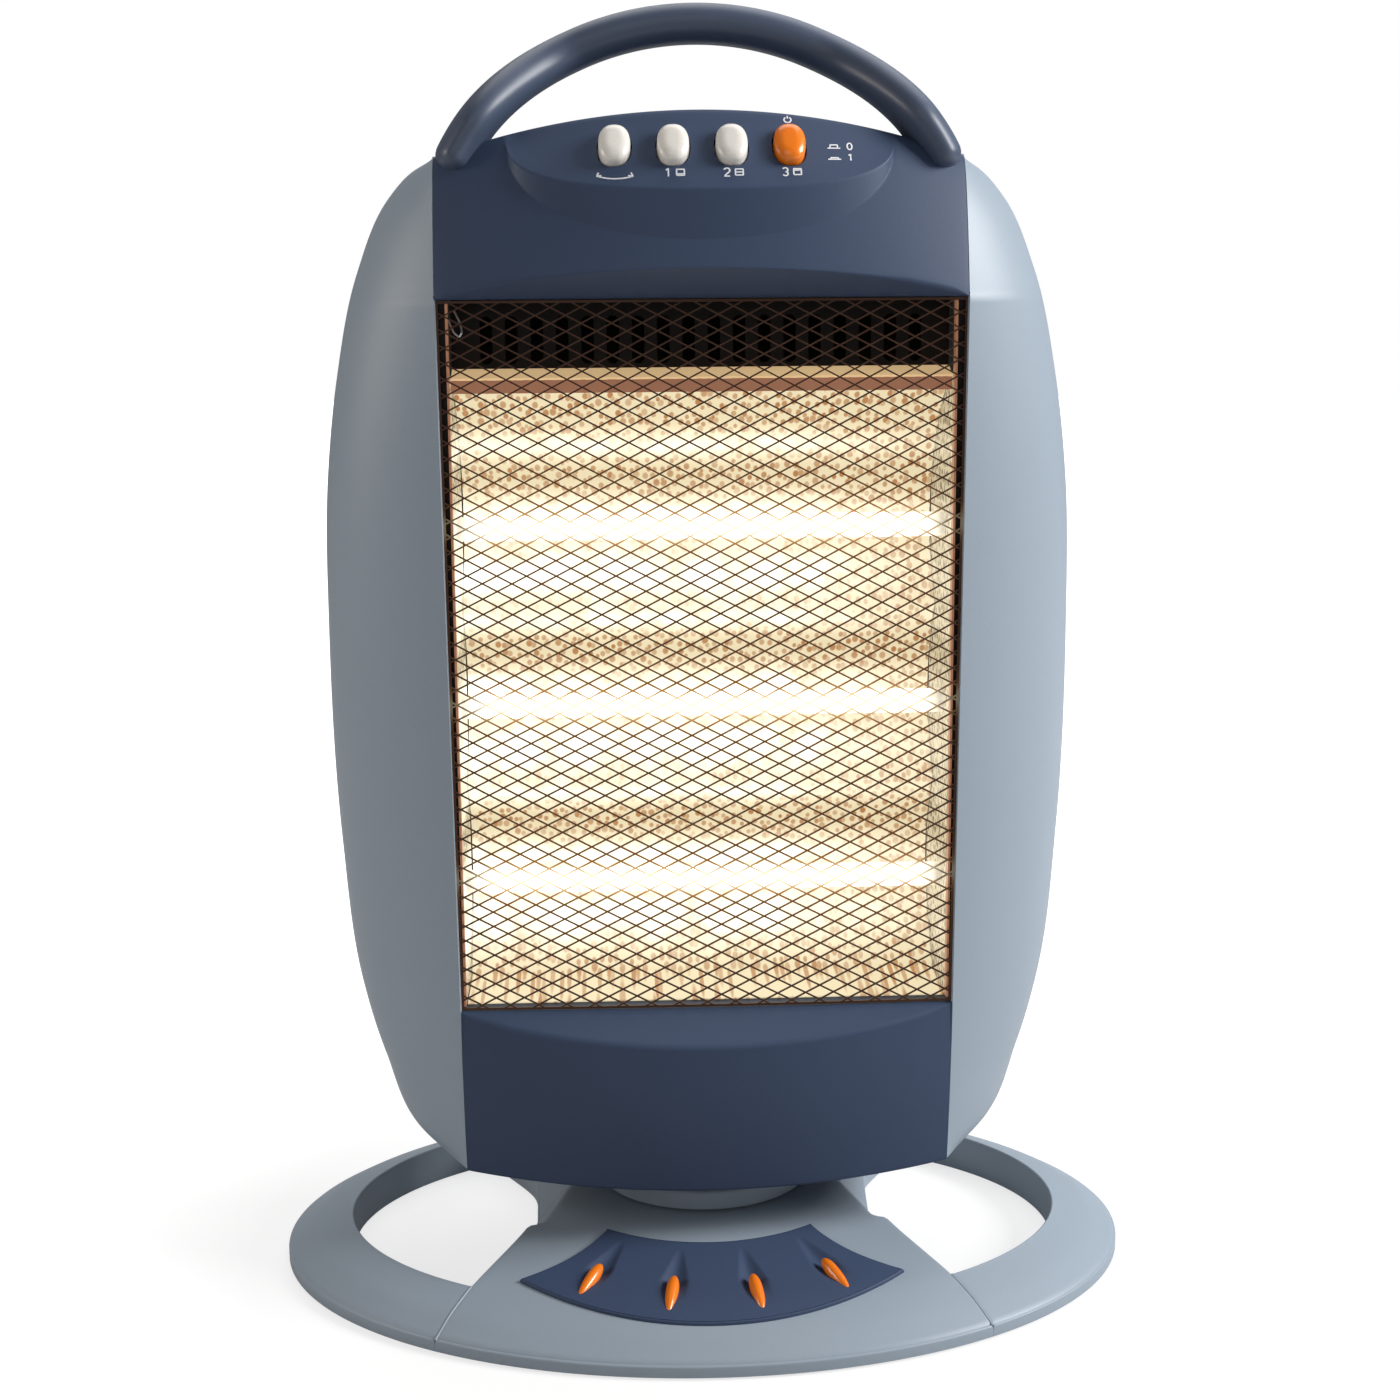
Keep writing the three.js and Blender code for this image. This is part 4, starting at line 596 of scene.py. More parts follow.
def brushed_group():
    """Drawn or painted metal: streaks along X.

    Colour is the base colour times 1 +- Streak after a noise stretched along X. Height is the
    same streaks.
    """
    found = bpy.data.node_groups.get("Drawn metal")
    if found:
        return found
    group, given, result = finish_group("Drawn metal", Streak=0.2, Scale=300.0, Roughness=0.4)
    stretch = add(group, "ShaderNodeMapping", Vector=coordinate(group), Scale=(0.06, 1.0, 1.0))
    streaks = noise(group, stretch.outputs[0], given["Scale"], Detail=4.0, Roughness=0.7)
    swing = product(group, math_node(group, "SUBTRACT", streaks, 0.5), given["Streak"])
    fill(group, result, Colour=scaled(group, given["Colour"], total(group, swing, 1.0)),
         Roughness=total(group, given["Roughness"], swing), Height=streaks)
    return group


def blank(name):
    """A new material: (material, its tree, its Principled shader)."""
    material = bpy.data.materials.new(name)
    material.use_nodes = True
    return material, material.node_tree, material.node_tree.nodes["Principled BSDF"]


def finish(name, group, colour, depth, metallic=0.0, coat=0.0, specular=0.5, **values):
    """A material whose colour, roughness and relief come from a group; made once per name."""
    found = bpy.data.materials.get(name)
    if found:
        return found
    material, tree, surface = blank(name)
    made = add(tree, "ShaderNodeGroup", node_tree=group, Colour=(*colour, 1), **values).outputs
    relief = add(tree, "ShaderNodeBump", Strength=0.35, Distance=depth * MM, Height=made["Height"])
    fill(tree, surface, Base_Color=made["Colour"], Roughness=made["Roughness"],
         Normal=relief.outputs[0], Metallic=metallic, Coat_Weight=coat, Coat_Roughness=0.25,
         Specular_IOR_Level=specular)
    return material


def lit(material, colour, strength):
    """Gives a finish an even glow of its own."""
    tree = material.node_tree
    fill(tree, tree.nodes["Principled BSDF"], Emission_Color=(*colour, 1), Emission_Strength=strength)
    return material


def dark_plastic():
    return finish("Dark blue-grey plastic", moulded_group(), colours().dark, 0.12, specular=0.3,
                  Variation=0.10, Roughness=0.50, Dust=0.10)


def pale_plastic():
    return finish("Pale blue-grey plastic", moulded_group(), colours().pale, 0.10,
                  Variation=0.05, Roughness=0.42, Dust=0.04)


def handle_plastic():
    return finish("Handle plastic", moulded_group(), colours().handle, 0.08,
                  Variation=0.08, Roughness=0.40, Dust=0.06)


def ivory_plastic():
    return finish("Ivory plastic", moulded_group(), colours().ivory, 0.02, coat=0.4,
                  Variation=0.03, Roughness=0.26, Dust=0.0)


def orange_plastic():
    return finish("Orange plastic", moulded_group(), colours().orange, 0.02, coat=0.4,
                  Variation=0.05, Roughness=0.24, Dust=0.0)


def ink():
    return finish("Printed ink", moulded_group(), colours().ink, 0.01, Variation=0.08, Roughness=0.5)


def black_plastic():
    return finish("Black plastic", moulded_group(), (0.016, 0.017, 0.019), 0.06, Roughness=0.5)


def white_plastic():
    return finish("White plastic", moulded_group(), (0.66, 0.66, 0.63), 0.03, Roughness=0.4)


def rubber():
    return finish("Foot rubber", moulded_group(), (0.018, 0.018, 0.019), 0.1, Roughness=0.75)


def ceramic():
    return finish("Ceramic", moulded_group(), (0.76, 0.72, 0.64), 0.08, Variation=0.12, Roughness=0.6)


def steel():
    return finish("Plated steel", brushed_group(), (0.52, 0.53, 0.55), 0.02, metallic=1.0,
                  Streak=0.25, Scale=500.0, Roughness=0.32)


def brown_steel():
    return finish("Brown steel", brushed_group(), colours().brown, 0.03, metallic=0.6,
                  Streak=0.5, Scale=160.0, Roughness=0.45)


def reflector_sheet(name="Hammered reflector", pebble=None, level=0.72, across="X"):
    """Hammered aluminium near the glow, in painted light: a near-black base colour under an emission
    that paints its light and shade.

    Between the pebbles a pale warm colour is a painted reflection of the tubes; the pebbles are painted
    shade in brown, as dimples that face away from a tube. Pebbles are round cells of a flat Voronoi
    pattern over (across, z), each with its own shade. The painted reflection lies below each tube, in a
    thin line above it and level with it, is weaker to the right, and washes the pebbles out. Faces that
    look backwards don't glow.
    """
    found = bpy.data.materials.get(name)
    if found:
        return found
    material, tree, surface = blank(name)
    place = axes(tree)

    def bands(offset, width):
        return bells(tree, place["Z"], [height + offset for height in TUBE_HEIGHTS], width)

    squeezed = product(tree, place["Z"], 0.82)
    flat = add(tree, "ShaderNodeCombineXYZ", X=place[across], Y=squeezed).outputs[0]
    cells = add(tree, "ShaderNodeTexVoronoi", voronoi_dimensions="2D", Vector=flat,
                Scale=1 / (PEBBLE_PITCH * MM), Randomness=0.8).outputs
    shade = add(tree, "ShaderNodeSeparateColor", Color=cells["Color"]).outputs
    size = remap(tree, shade[1], 0, 1, 0.26, 0.46)
    spot = remap(tree, math_node(tree, "DIVIDE", cells["Distance"], size), 0.72, 1.12, 1.0, 0.0)
    patches = noise(tree, flat, 70.0, Detail=3.0, Roughness=0.6)
    mirrored = total(tree, bands(-24, 13), bands(0, 9), product(tree, bands(32, 6), 0.7))
    mirrored = product(tree, mirrored, remap(tree, place["X"], 0.03, 0.095, 1.0, 0.35),
                       remap(tree, patches, 0.3, 0.7, 0.55, 1.2))
    kept = math_node(tree, "SUBTRACT", 1.0, product(tree, mirrored, 1.15))
    shown = product(tree, math_node(tree, "MAXIMUM", kept, 0.0), remap(tree, shade[0], 0, 1, 0.55, 1.0))
    spot = product(tree, spot, shown)
    washed = math_node(tree, "MINIMUM", product(tree, mirrored, 0.6), 1.0)
    # Painted light: a painted reflection of the glow between the pebbles, and painted shade in them.
    colour = mixed(tree, spot, colours().cream, pebble or colours().pebble)
    colour = mixed(tree, washed, colour, (1, 1, 0.92))
    tube_side = remap(tree, axes(tree, "Normal")["Y"], 0.05, 0.15, 1.0, 0.0)
    strength = product(tree, total(tree, product(tree, mirrored, 0.75), level), tube_side)
    relief = add(tree, "ShaderNodeBump", Strength=0.5, Distance=DIMPLE_DEPTH * MM, Height=spot)
    # The base colour stays near black, so that the emission paints the reflector's light and shade.
    fill(tree, surface, Metallic=0.3, Roughness=0.4, Base_Color=scaled(tree, colour, 0.12),
         Emission_Color=scaled(tree, colour, strength), Emission_Strength=1.0, Normal=relief.outputs[0])
    return material


def end_plate_sheet():
    # The end plates carry the same painted reflection of the glow, weaker, with darker pebbles of
    # painted shade.
    return reflector_sheet("Hammered end plate", (0.060, 0.018, 0.006), 0.45, "Y")


def warm_metal(name, colour, strength):
    """Plain brushed sheet with an even painted glow that stands in for its reflection of the tubes."""
    return lit(finish(name, brushed_group(), colour, 0.02, metallic=0.4, Streak=0.35, Scale=220.0,
                      Roughness=0.4), colour, strength)


def guard_wire():
    """Plated strands in a colour darkened by painted shade, with a painted glow that washes them out in
    front of each tube.
    """
    material = finish("Guard wire", brushed_group(), colours().wire, 0.02, metallic=0.3,
                      Streak=0.5, Scale=400.0, Roughness=0.5)
    tree = material.node_tree
    surface = tree.nodes["Principled BSDF"]
    if surface.inputs["Emission Color"].is_linked:
        return material
    place = axes(tree)
    # Painted glow: a bright core and a wide halo round each tube as the camera sees it through the
    # guard, weaker towards the guard's ends.
    seen = [t + (CAMERA_HEIGHT - t) * GUARD_TO_TUBES / CAMERA_DISTANCE for t in TUBE_HEIGHTS]
    core = product(tree, bells(tree, place["Z"], seen, 5.5), 1.1)
    halo = product(tree, bells(tree, place["Z"], seen, 26), 0.11)
    reach = remap(tree, math_node(tree, "ABSOLUTE", place["X"]), 0.086, 0.098, 1.0, 0.1)
    level = product(tree, total(tree, core, halo), reach)
    warm = mixed(tree, core, (1.0, 0.42, 0.06), colours().cream)
    fill(tree, surface, Emission_Color=scaled(tree, warm, level), Emission_Strength=1.0)
    return material


def glowing_quartz():
    """Quartz that glows along its length and fades where it enters the caps."""
    found = bpy.data.materials.get("Glowing quartz")
    if found:
        return found
    material, tree, surface = blank("Glowing quartz")
    reach = math_node(tree, "ABSOLUTE", axes(tree)["X"])
    ripple = noise(tree, coordinate(tree), 90.0, Detail=2.0)
    fade = remap(tree, reach, *(end * MM for end in TUBE_FADE), 1.0, 0.12)
    level = product(tree, fade, remap(tree, ripple, 0.3, 0.7, 0.85, 1.0))
    tint = remap(tree, ripple, 0.3, 0.7, 0.9, 1.0)
    fill(tree, surface, Roughness=0.15, Base_Color=scaled(tree, (0.95, 0.93, 0.88), tint),
         Emission_Color=scaled(tree, colours().glow, level), Emission_Strength=sizes().glow)
    return material


def glowing_coil():
    """Tungsten at work."""
    return lit(finish("Glowing tungsten", brushed_group(), (0.9, 0.6, 0.3), 0.01, metallic=1.0),
               (1.0, 0.72, 0.36), sizes().glow)


# ------------------------------------------------------------------ base
def soft_min(a, b, ease):
    """The lesser of two heights, with the corner between them rounded over about ease."""
    return (a + b - np.sqrt((a - b) ** 2 + ease ** 2)) / 2


def oval_reach(x, y, half_axes):
    """Distance from the swivel axis to an oval, in the direction of (x, y)."""
    a, b = half_axes
    return np.hypot(x, y) / np.maximum(np.hypot(x / a, y / b), 1e-9)


def deck(x, y):
    """Height of the base's top.

    Along a line from the swivel axis it is level over the hub, then falls in three straight
    slopes, to the ring, to the crest and to the rim. Each is steeper than the last, so the
    height is the least of them, softened.
    """
    r = np.hypot(x, y)
    rim, crest, inner = (oval_reach(x, y, oval) for oval in (RIM, CREST, INNER))

    def slope(near, near_height, far, far_height):
        return near_height + (far_height - near_height) * (r - near) / np.maximum(far - near, 1e-6)

    height = soft_min(slope(HUB_RADIUS, HUB_HEIGHT, inner, INNER_HEIGHT), HUB_HEIGHT, 1.0)
    height = soft_min(height, slope(inner, INNER_HEIGHT, crest, CREST_HEIGHT), 0.8)
    return soft_min(height, slope(crest, CREST_HEIGHT, rim, RIM_HEIGHT), 0.7)


def skirted(top, radius, floor):
    """A top surface with a rounded edge and an upright wall at both ends of its first axis."""
    def side(edge, inner):
        out = edge - inner
        out[..., 2] = 0
        out /= np.maximum(np.linalg.norm(out, axis=-1, keepdims=True), 1e-9)
        turn = np.radians((0, 22, 45, 67, 90))[:, None, None]
        rows = edge - out * radius * (1 - np.sin(turn))
        rows[..., 2] -= (radius * (1 - np.cos(turn)))[..., 0]
        foot = rows[-1:].copy()
        foot[..., 2] = floor
        rows = np.concatenate([rows, foot])
        rows[..., 2] = np.maximum(rows[..., 2], floor)
        return rows

    return np.concatenate([side(top[0], top[1])[::-1], top[1:-1], side(top[-1], top[-2])])


def tray(top, radius, floor, wall):
    """A moulding that is open below: the top, rounded edges, upright walls, all of one wall."""
    walled = skirted(skirted(top, radius, floor).swapaxes(0, 1), radius, floor).swapaxes(0, 1)
    facing = 1 if grid_normals(walled)[..., 2].sum() > 0 else -1
    return shell(walled, wall, facing)


FAN_DEPTH = INNER[1] * math.sqrt(1 - (FAN_HALF_WIDTH / INNER[0]) ** 2)
SEAM_SLOPE = (FAN_HALF_WIDTH - WAIST_HALF_WIDTH) / (FAN_DEPTH - WAIST_HALF_LENGTH)


def bridge_edge(y):
    """Half width of the bridge at a depth: upright at the waist, then out along the seams."""
    past = np.abs(y) - WAIST_HALF_LENGTH
    return WAIST_HALF_WIDTH - SEAT / 2 + SEAM_SLOPE * (past + np.sqrt(past ** 2 + WAIST_ROUND ** 2)) / 2


def bridge_top():
    """The bridge from front rim to rear rim.

    Rows are straight over the waist and bend to the ring's oval and the rim's. A row of centre
    depth d is y = d sqrt(1 - k x^2), where k grows with d, and reaches from edge to edge. The
    height is the deck's, cut down beside the hub by the sloping flanks.
    """
    along = np.linspace(-RIM[1], RIM[1], 187)[:, None]
    across = np.linspace(-1, 1, 119)
    depth = np.abs(along)
    bend = np.interp(depth, (WAIST_HALF_LENGTH, INNER[1], RIM[1]), (0, INNER[0] ** -2, RIM[0] ** -2))
    y = depth
    for _ in range(40):
        edge = bridge_edge(y)
        y = depth * np.sqrt(np.maximum(0, 1 - bend * edge ** 2))
    x = across * edge
    y = np.sign(along) * depth * np.sqrt(np.maximum(0, 1 - bend * x ** 2))
    corner_rise = INNER_HEIGHT + 4 - FLANK_FOOT_HEIGHT
    flank = FLANK_FOOT_HEIGHT + (WAIST_HALF_WIDTH - np.abs(x)) * FLANK_SLOPE
    flank = flank + corner_rise * np.abs(y) / WAIST_HALF_LENGTH
    flank = flank + 4 * np.maximum(0, np.abs(y) - WAIST_HALF_LENGTH)
    height = soft_min(deck(x, y), flank, 1.2)
    return spread(x, y, height - INSERT_POCKET * under_insert(x, y))


def seam_end(half_axes):
    """Angle on an oval where it meets the seam at the rear right, on the wing's side."""
    a, b = half_axes
    x0, y0 = WAIST_HALF_WIDTH + SEAT / 2 * 1.2, WAIST_HALF_LENGTH
    p = (SEAM_SLOPE / a) ** 2 + (1 / b) ** 2
    q = 2 * (x0 * SEAM_SLOPE / a ** 2 + y0 / b ** 2)
    s = (x0 / a) ** 2 + (y0 / b) ** 2 - 1
    run = (-q + np.sqrt(q ** 2 - 4 * p * s)) / (2 * p)
    return np.arctan2((y0 + run) / b, (x0 + run * SEAM_SLOPE) / a)


def wing_top(side):
    """One side of the ring: ovals from the rim in to the opening, each cut off at the seams."""
    share = np.linspace(0, 1, 19)[:, None]
    half_axes = [outer + (inner - outer) * share for outer, inner in zip(RIM, INNER)]
    angle = seam_end(half_axes) * np.linspace(-1, 1, 141)
    x, y = half_axes[0] * np.cos(angle), half_axes[1] * np.sin(angle)
    return spread(side * x, y, deck(x, y))


def seam_bead(side, end):
    """A thin raised line along the seam between bridge and wing, from the opening to the rim."""
    share = np.linspace(0.01, 0.985, 40)
    a, b = (outer + (inner - outer) * share for outer, inner in zip(RIM, INNER))
    angle = seam_end((a, b))
    x, y = a * np.cos(angle) - SEAT * 0.7, b * np.sin(angle)
    centre = spread(side * x, end * y, deck(x, y) - BEAD_SINK)
    run = np.gradient(centre, axis=0)
    run /= np.linalg.norm(run, axis=1, keepdims=True)
    aside = np.cross(run, (0, 0, 1))
    up = np.cross(aside, run)
    turn = np.linspace(0, 2 * np.pi, 12, endpoint=False)[:, None]
    rings = aside[:, None] * np.cos(turn) + up[:, None] * np.sin(turn)
    return capped(centre[:, None] + BEAD_RADIUS * rings)


def insert_arcs():
    """The plate's front and rear arcs, each as (distance of its middle, radius)."""
    front = -low("base_insert")[1]
    arcs = []
    for reach, (half_width, corner) in ((front, INSERT_FRONT_CORNER), (INSERT_REAR, INSERT_REAR_CORNER)):
        sagitta = reach - corner
        arcs.append((reach, (half_width ** 2 + sagitta ** 2) / (2 * sagitta)))
    return arcs


def insert_surface(lift):
    """The dark plate: straight lines between an inner and an outer arc, with hollow sides.

    Its height is the deck's plus lift, less a groove behind each accent, which deepens and
    widens from a point near the rear edge out to the accent.
    """
    (front, outer_radius), (rear, inner_radius) = insert_arcs()

    def arc(reach, radius, half_width, across):
        angle = math.asin(half_width / radius) * across
        return radius * np.sin(angle), -(reach - radius) - radius * np.cos(angle)

    across = np.linspace(-1, 1, 221)
    out = np.linspace(0, 1, 81)[:, None]
    outer_x, outer_y = arc(front, outer_radius, INSERT_FRONT_CORNER[0], across)
    inner_x, inner_y = arc(rear, inner_radius, INSERT_REAR_CORNER[0], across)
    bow = INSERT_SIDE_BOW * 4 * out * (1 - out) * across ** 5
    x = inner_x + (outer_x - inner_x) * out - bow * 0.75
    y = inner_y + (outer_y - inner_y) * out - np.abs(bow) * 0.5
    height = deck(x, y) + lift
    reach, bearing = np.hypot(x, y), np.degrees(np.arctan2(x, -y))
    for angle in ACCENT_ANGLES:
        aside = reach * np.sin(np.radians(bearing - angle))
        run = np.clip((reach - GROOVE_START) / (ACCENT_REACH - 8 - GROOVE_START), 0, 1)
        fade = np.clip((ACCENT_REACH + 3 - reach) / 12, 0, 1)
        width = 1.4 + 4.8 * run
        height = height - GROOVE_DEPTH * run * fade * np.clip(1 - (aside / width) ** 2, 0, 1) ** 1.5
    return spread(x, y, height)


def under_insert(x, y):
    """True where the insert covers the bridge, a little inside its outline."""
    (front, outer_radius), (rear, inner_radius) = insert_arcs()
    within_front = np.hypot(x, y + front - outer_radius) < outer_radius - 3
    past_rear = np.hypot(x, y + rear - inner_radius) > inner_radius + 3
    (wide, far), (narrow, near) = INSERT_FRONT_CORNER, INSERT_REAR_CORNER
    side = narrow + (wide - narrow) * (-y - near) / (far - near) - 7
    return within_front & past_rear & (np.abs(x) < side) & (y < 0)


def accent(angle):
    """One accent: a slim domed drop, broad at its inner end and narrow at its outer end."""
    run = np.linspace(-1, 1, 29)[:, None]
    turn = np.linspace(0, 2 * np.pi, 28, endpoint=False)
    half = (1 - np.abs(run) ** 2.4) ** 0.6 * (1 - 0.22 * run)
    aside = ACCENT_WIDTH / 2 * half * np.cos(turn)
    rise = ACCENT_HEIGHT * half * np.sin(turn)
    reach = ACCENT_REACH + ACCENT_LENGTH / 2 * run + 0 * turn
    bearing = math.radians(angle)
    x = reach * math.sin(bearing) + aside * math.cos(bearing)
    y = -reach * math.cos(bearing) + aside * math.sin(bearing)
    centre = deck(reach * math.sin(bearing), -reach * math.cos(bearing)) - 0.8 * run
    return [(spread(x, y, centre + INSERT_PROUD - 0.3 + rise), True)]


def foot(place):
    """A rubber foot: a low disc with rounded edges."""
    x, y = place
    corners = [(0, 0), (FOOT_RADIUS, 0), (FOOT_RADIUS, FOOT_HEIGHT), (0, FOOT_HEIGHT)]
    return [(revolved(round_profile(corners, (0, 0.8, 0.3, 0)), 48) + (x, y, 0), True)]


class HEATER_OT_base(bpy.types.Operator):
    """Bridge and two wings of the base, as mouldings that are open below"""

    bl_idname = "heater.base"
    bl_label = "Base mouldings"

    def execute(self, context):
        radius = sizes().edge / MM
        piece("base_bridge_skin", tray(bridge_top(), radius, FLOOR_GAP, SKIN), "base",
              pale_plastic(), ["base_bridge"])
        for side, word in HANDS:
            piece(f"base_wing_{word}_skin", tray(wing_top(side), WING_EDGE, FLOOR_GAP, SKIN), "base",
                  pale_plastic(), [f"base_wing_{word}"])
        beads = [patch for side in (-1, 1) for end in (-1, 1) for patch in seam_bead(side, end)]
        piece("base_seam_beads", beads, "base", pale_plastic())
        return {"FINISHED"}


class HEATER_OT_base_trim(bpy.types.Operator):
    """Dark insert with its grooves, four orange accents and four feet"""

    bl_idname = "heater.base_trim"
    bl_label = "Base trim"

    def execute(self, context):
        top = insert_surface(INSERT_PROUD)
        walled = skirted(skirted(top, INSERT_EDGE, 0).swapaxes(0, 1), INSERT_EDGE, 0).swapaxes(0, 1)
        seat = deck(walled[..., 0], walled[..., 1])
        walled[..., 2] = np.maximum(walled[..., 2], seat - INSERT_POCKET + SEAT)
        flat = walled.copy()
        flat[..., 2] = np.minimum(walled[..., 2] - 0.4, seat - 1)
        piece("base_insert_skin", [(walled, False), (flat[:, ::-1], False)], "base",
              dark_plastic(), ["base_insert"])
        for i, angle in enumerate(ACCENT_ANGLES, 1):
            piece(f"accent_{i}_skin", accent(angle), "base", orange_plastic(),
                  [f"accent_{i}"])
        for i in range(1, 5):
            place = (low(f"foot_{i}") + high(f"foot_{i}"))[:2] / 2
            piece(f"foot_{i}_skin", foot(place), "base", rubber(), [f"foot_{i}"])
        return {"FINISHED"}


class HEATER_OT_turntable(bpy.types.Operator):
    """Round turntable with its neck"""

    bl_idname = "heater.turntable"
    bl_label = "Turntable"

    def execute(self, context):
        radius, top = high("turntable")[0], high("turntable")[2]
        bottom = low("turntable")[2]
        disc = bottom + TURNTABLE_DISC
        profile = round_profile([
            (TURNTABLE_BORE, bottom), (radius, bottom), (radius, disc), (TURNTABLE_NECK, disc),
            (TURNTABLE_NECK, top), (TURNTABLE_BORE, top),
        ], (0, 0.6, 2.6, 2.0, 0.4, 0), 6)
        grid = revolved(np.concatenate([profile, profile[:1]]), 160)
        piece("turntable_skin", [(grid, True)], "head", pale_plastic(), ["turntable"])
        return {"FINISHED"}


# ------------------------------------------------------------------ head
def panel_half_width(z):
    """Half width of the panels between the side shells: it grows evenly with height."""
    share = (z - HEAD_OUTLINE[0][1]) / (HEAD_OUTLINE[-1][1] - HEAD_OUTLINE[0][1])
    return PANEL_HALF_WIDTH_LOW + (PANEL_HALF_WIDTH_HIGH - PANEL_HALF_WIDTH_LOW) * share


def bulge(x, most):
    """A parabola over the panel's width."""
    return most * np.maximum(0, 1 - (x / PANEL_MID_WIDTH) ** 2)


def ridge(x):
    """Top front edge of the control panel: (y, z)."""
    y = -(RIDGE_DEPTH_SIDE + bulge(x, RIDGE_DEPTH - RIDGE_DEPTH_SIDE))
    return y, RIDGE_HEIGHT - RIDGE_DROP * (x / PANEL_MID_WIDTH) ** 2


def crescent(x, most):
    """Height of a crescent-shaped chamfer along a window edge."""
    return most * bulge(x, 1) ** 0.75


def crescent_top(x):
    """Upper edge of the chamfer over the window, as (y, z): bowed forward and up by parabolas."""
    y = -(EDGE_DEPTH_FRONT - 0.5 + bulge(x, BOW_FRONT))
    return y, WINDOW_TOP + crescent(x, CRESCENT_TOP)


def dome_y(x, z):
    """Front of the top cover between crescent and ridge: between a straight line and a quarter oval."""
    foot_y, foot_z = crescent_top(x)
    ridge_y, ridge_z = ridge(x)
    share = np.clip((z - foot_z) / (ridge_z - foot_z), 0, 1)
    straight = 1 - share
    full = np.sqrt(np.maximum(0, 1 - share ** 2))
    return ridge_y + (foot_y - ridge_y) * (straight + (full - straight) * DOME_FULLNESS)


def panel_profile(x):
    """The control panel at x: (chin y, chin z, plateau y, plateau z, ridge y, ridge z)."""
    ridge_y, ridge_z = ridge(x)
    opened = np.sqrt(np.maximum(0, 1 - (x / PLATEAU_HALF_WIDTH) ** 2))
    chin_z = ridge_z - RIDGE_LIP - CHIN_DROP * opened
    chin_y = dome_y(x, chin_z)
    plateau_z = ridge_z - RIDGE_LIP - PLATEAU_DROP * opened
    return chin_y, chin_z, chin_y + CHIN_LEAN * opened, plateau_z, ridge_y, ridge_z


def across_panel(count):
    """Places across the panel, from -1 to 1, closer together where the panel's corners lie."""
    share = np.linspace(-1, 1, count)
    near = PLATEAU_HALF_WIDTH / PANEL_MID_WIDTH
    return share + 0.045 * np.sin(2 * np.pi * share / near) * (np.abs(share) < near)


def cover_skin(rows, radii, share, steps=5):
    """Profiles in Y and Z, one for each place across, as a grid that ends at the side shells."""
    points = np.stack([spread(share * PANEL_MID_WIDTH, y, z) for y, z in rows])
    points = rounded(points, radii, steps)
    points[..., 0] = share * (panel_half_width(points[..., 2]) - SEAT / 2)
    return points


def top_front_cover():
    """Window edge, crescent, dome, chin, control panel and ridge, back to the parting line."""
    share = across_panel(241)
    x = share * PANEL_MID_WIDTH
    chin_y, chin_z, plateau_y, plateau_z, ridge_y, ridge_z = panel_profile(x)
    foot_y, foot_z = crescent_top(x)
    flat = np.zeros_like(x)
    rows = [
        (flat - SEAT / 2, flat + WINDOW_TOP), (flat - WINDOW_DEPTH, flat + WINDOW_TOP), (foot_y, foot_z),
    ]
    radii = [0, 1.0, 2.0]
    for t in np.linspace(0, 1, 16)[1:-1]:
        z = foot_z + (chin_z - foot_z) * t
        rows.append((dome_y(x, z), z))
        radii.append(0)
    rows += [(chin_y, chin_z), (plateau_y, plateau_z)]
    panel = np.clip(3 * (plateau_y - chin_y) / CHIN_LEAN, 0, 1)
    for t in (0.3, 0.55, 0.75, 0.9):
        z = plateau_z + (ridge_z - plateau_z) * t
        y = plateau_y + (ridge_y - plateau_y) * t
        rows.append((y * panel + dome_y(x, z) * (1 - panel), z))
    rows += [(ridge_y, ridge_z), (flat - SEAT / 2, ridge_z + CROWN)]
    radii += [0.8, 0.9, 0, 0, 0, 0, 2.0, 0]
    return cover_skin(rows, radii, share)


def rear_draw(x, z):
    """How far the back of the head draws in above the window."""
    return REAR_EASE * np.clip((z - WINDOW_TOP) / (ridge(x)[1] - WINDOW_TOP), 0, 1) ** 4


def top_rear_cover():
    """From the parting line back over the top and down behind the window."""
    share = np.linspace(-1, 1, 121)
    x = share * PANEL_MID_WIDTH
    top = ridge(x)[1]
    back = EDGE_DEPTH_REAR + bulge(x, BOW_REAR)
    flat = np.zeros_like(x)
    rows, radii = [(flat + SEAT / 2, top + CROWN)], [0]
    for t in np.linspace(0, 1, 22):
        z = top + (WINDOW_TOP - top) * t ** 1.5
        rows.append((back - rear_draw(x, z), z))
        radii.append(5.0 if t == 0 else 0)
    rows.append((flat + SEAT / 2, flat + WINDOW_TOP))
    radii[-1] = 1.2
    return cover_skin(rows, radii + [0], share)


def cover_floor(x):
    """Underside of the lower covers: a shallow parabola, higher at the sides."""
    return COVER_BOTTOM + COVER_BOTTOM_ARCH * (x / PANEL_MID_WIDTH) ** 2


def bottom_front_cover():
    """Window edge, crescent, belly, rounded foot and floor of the lower front cover."""
    share = np.linspace(-1, 1, 161)
    x = share * PANEL_MID_WIDTH
    bow, floor, flat = bulge(x, BOW_FRONT), cover_floor(x), np.zeros_like(x)
    rows = [
        (flat - SEAT / 2, flat + WINDOW_BOTTOM), (flat - WINDOW_DEPTH, flat + WINDOW_BOTTOM),
        (-(EDGE_DEPTH_FRONT - 0.5 + bow), WINDOW_BOTTOM - crescent(x, CRESCENT_BOTTOM)),
        (-(EDGE_DEPTH_FRONT + bow), flat + COVER_BELLY),
        (-(EDGE_DEPTH_FRONT - 4 + bow), floor - COVER_APRON + 1),
        (-(EDGE_DEPTH_FRONT - 5 + bow), floor - COVER_APRON),
        (-(EDGE_DEPTH_FRONT - 9 + bow), floor - COVER_APRON), (-(EDGE_DEPTH_FRONT - 12 + bow), floor),
        (flat - SEAT / 2, floor),
    ]
    return cover_skin(rows, [0, 1.0, 2.0, 14, 0.5, 0.5, 0.5, 0.5, 0], share, 7)


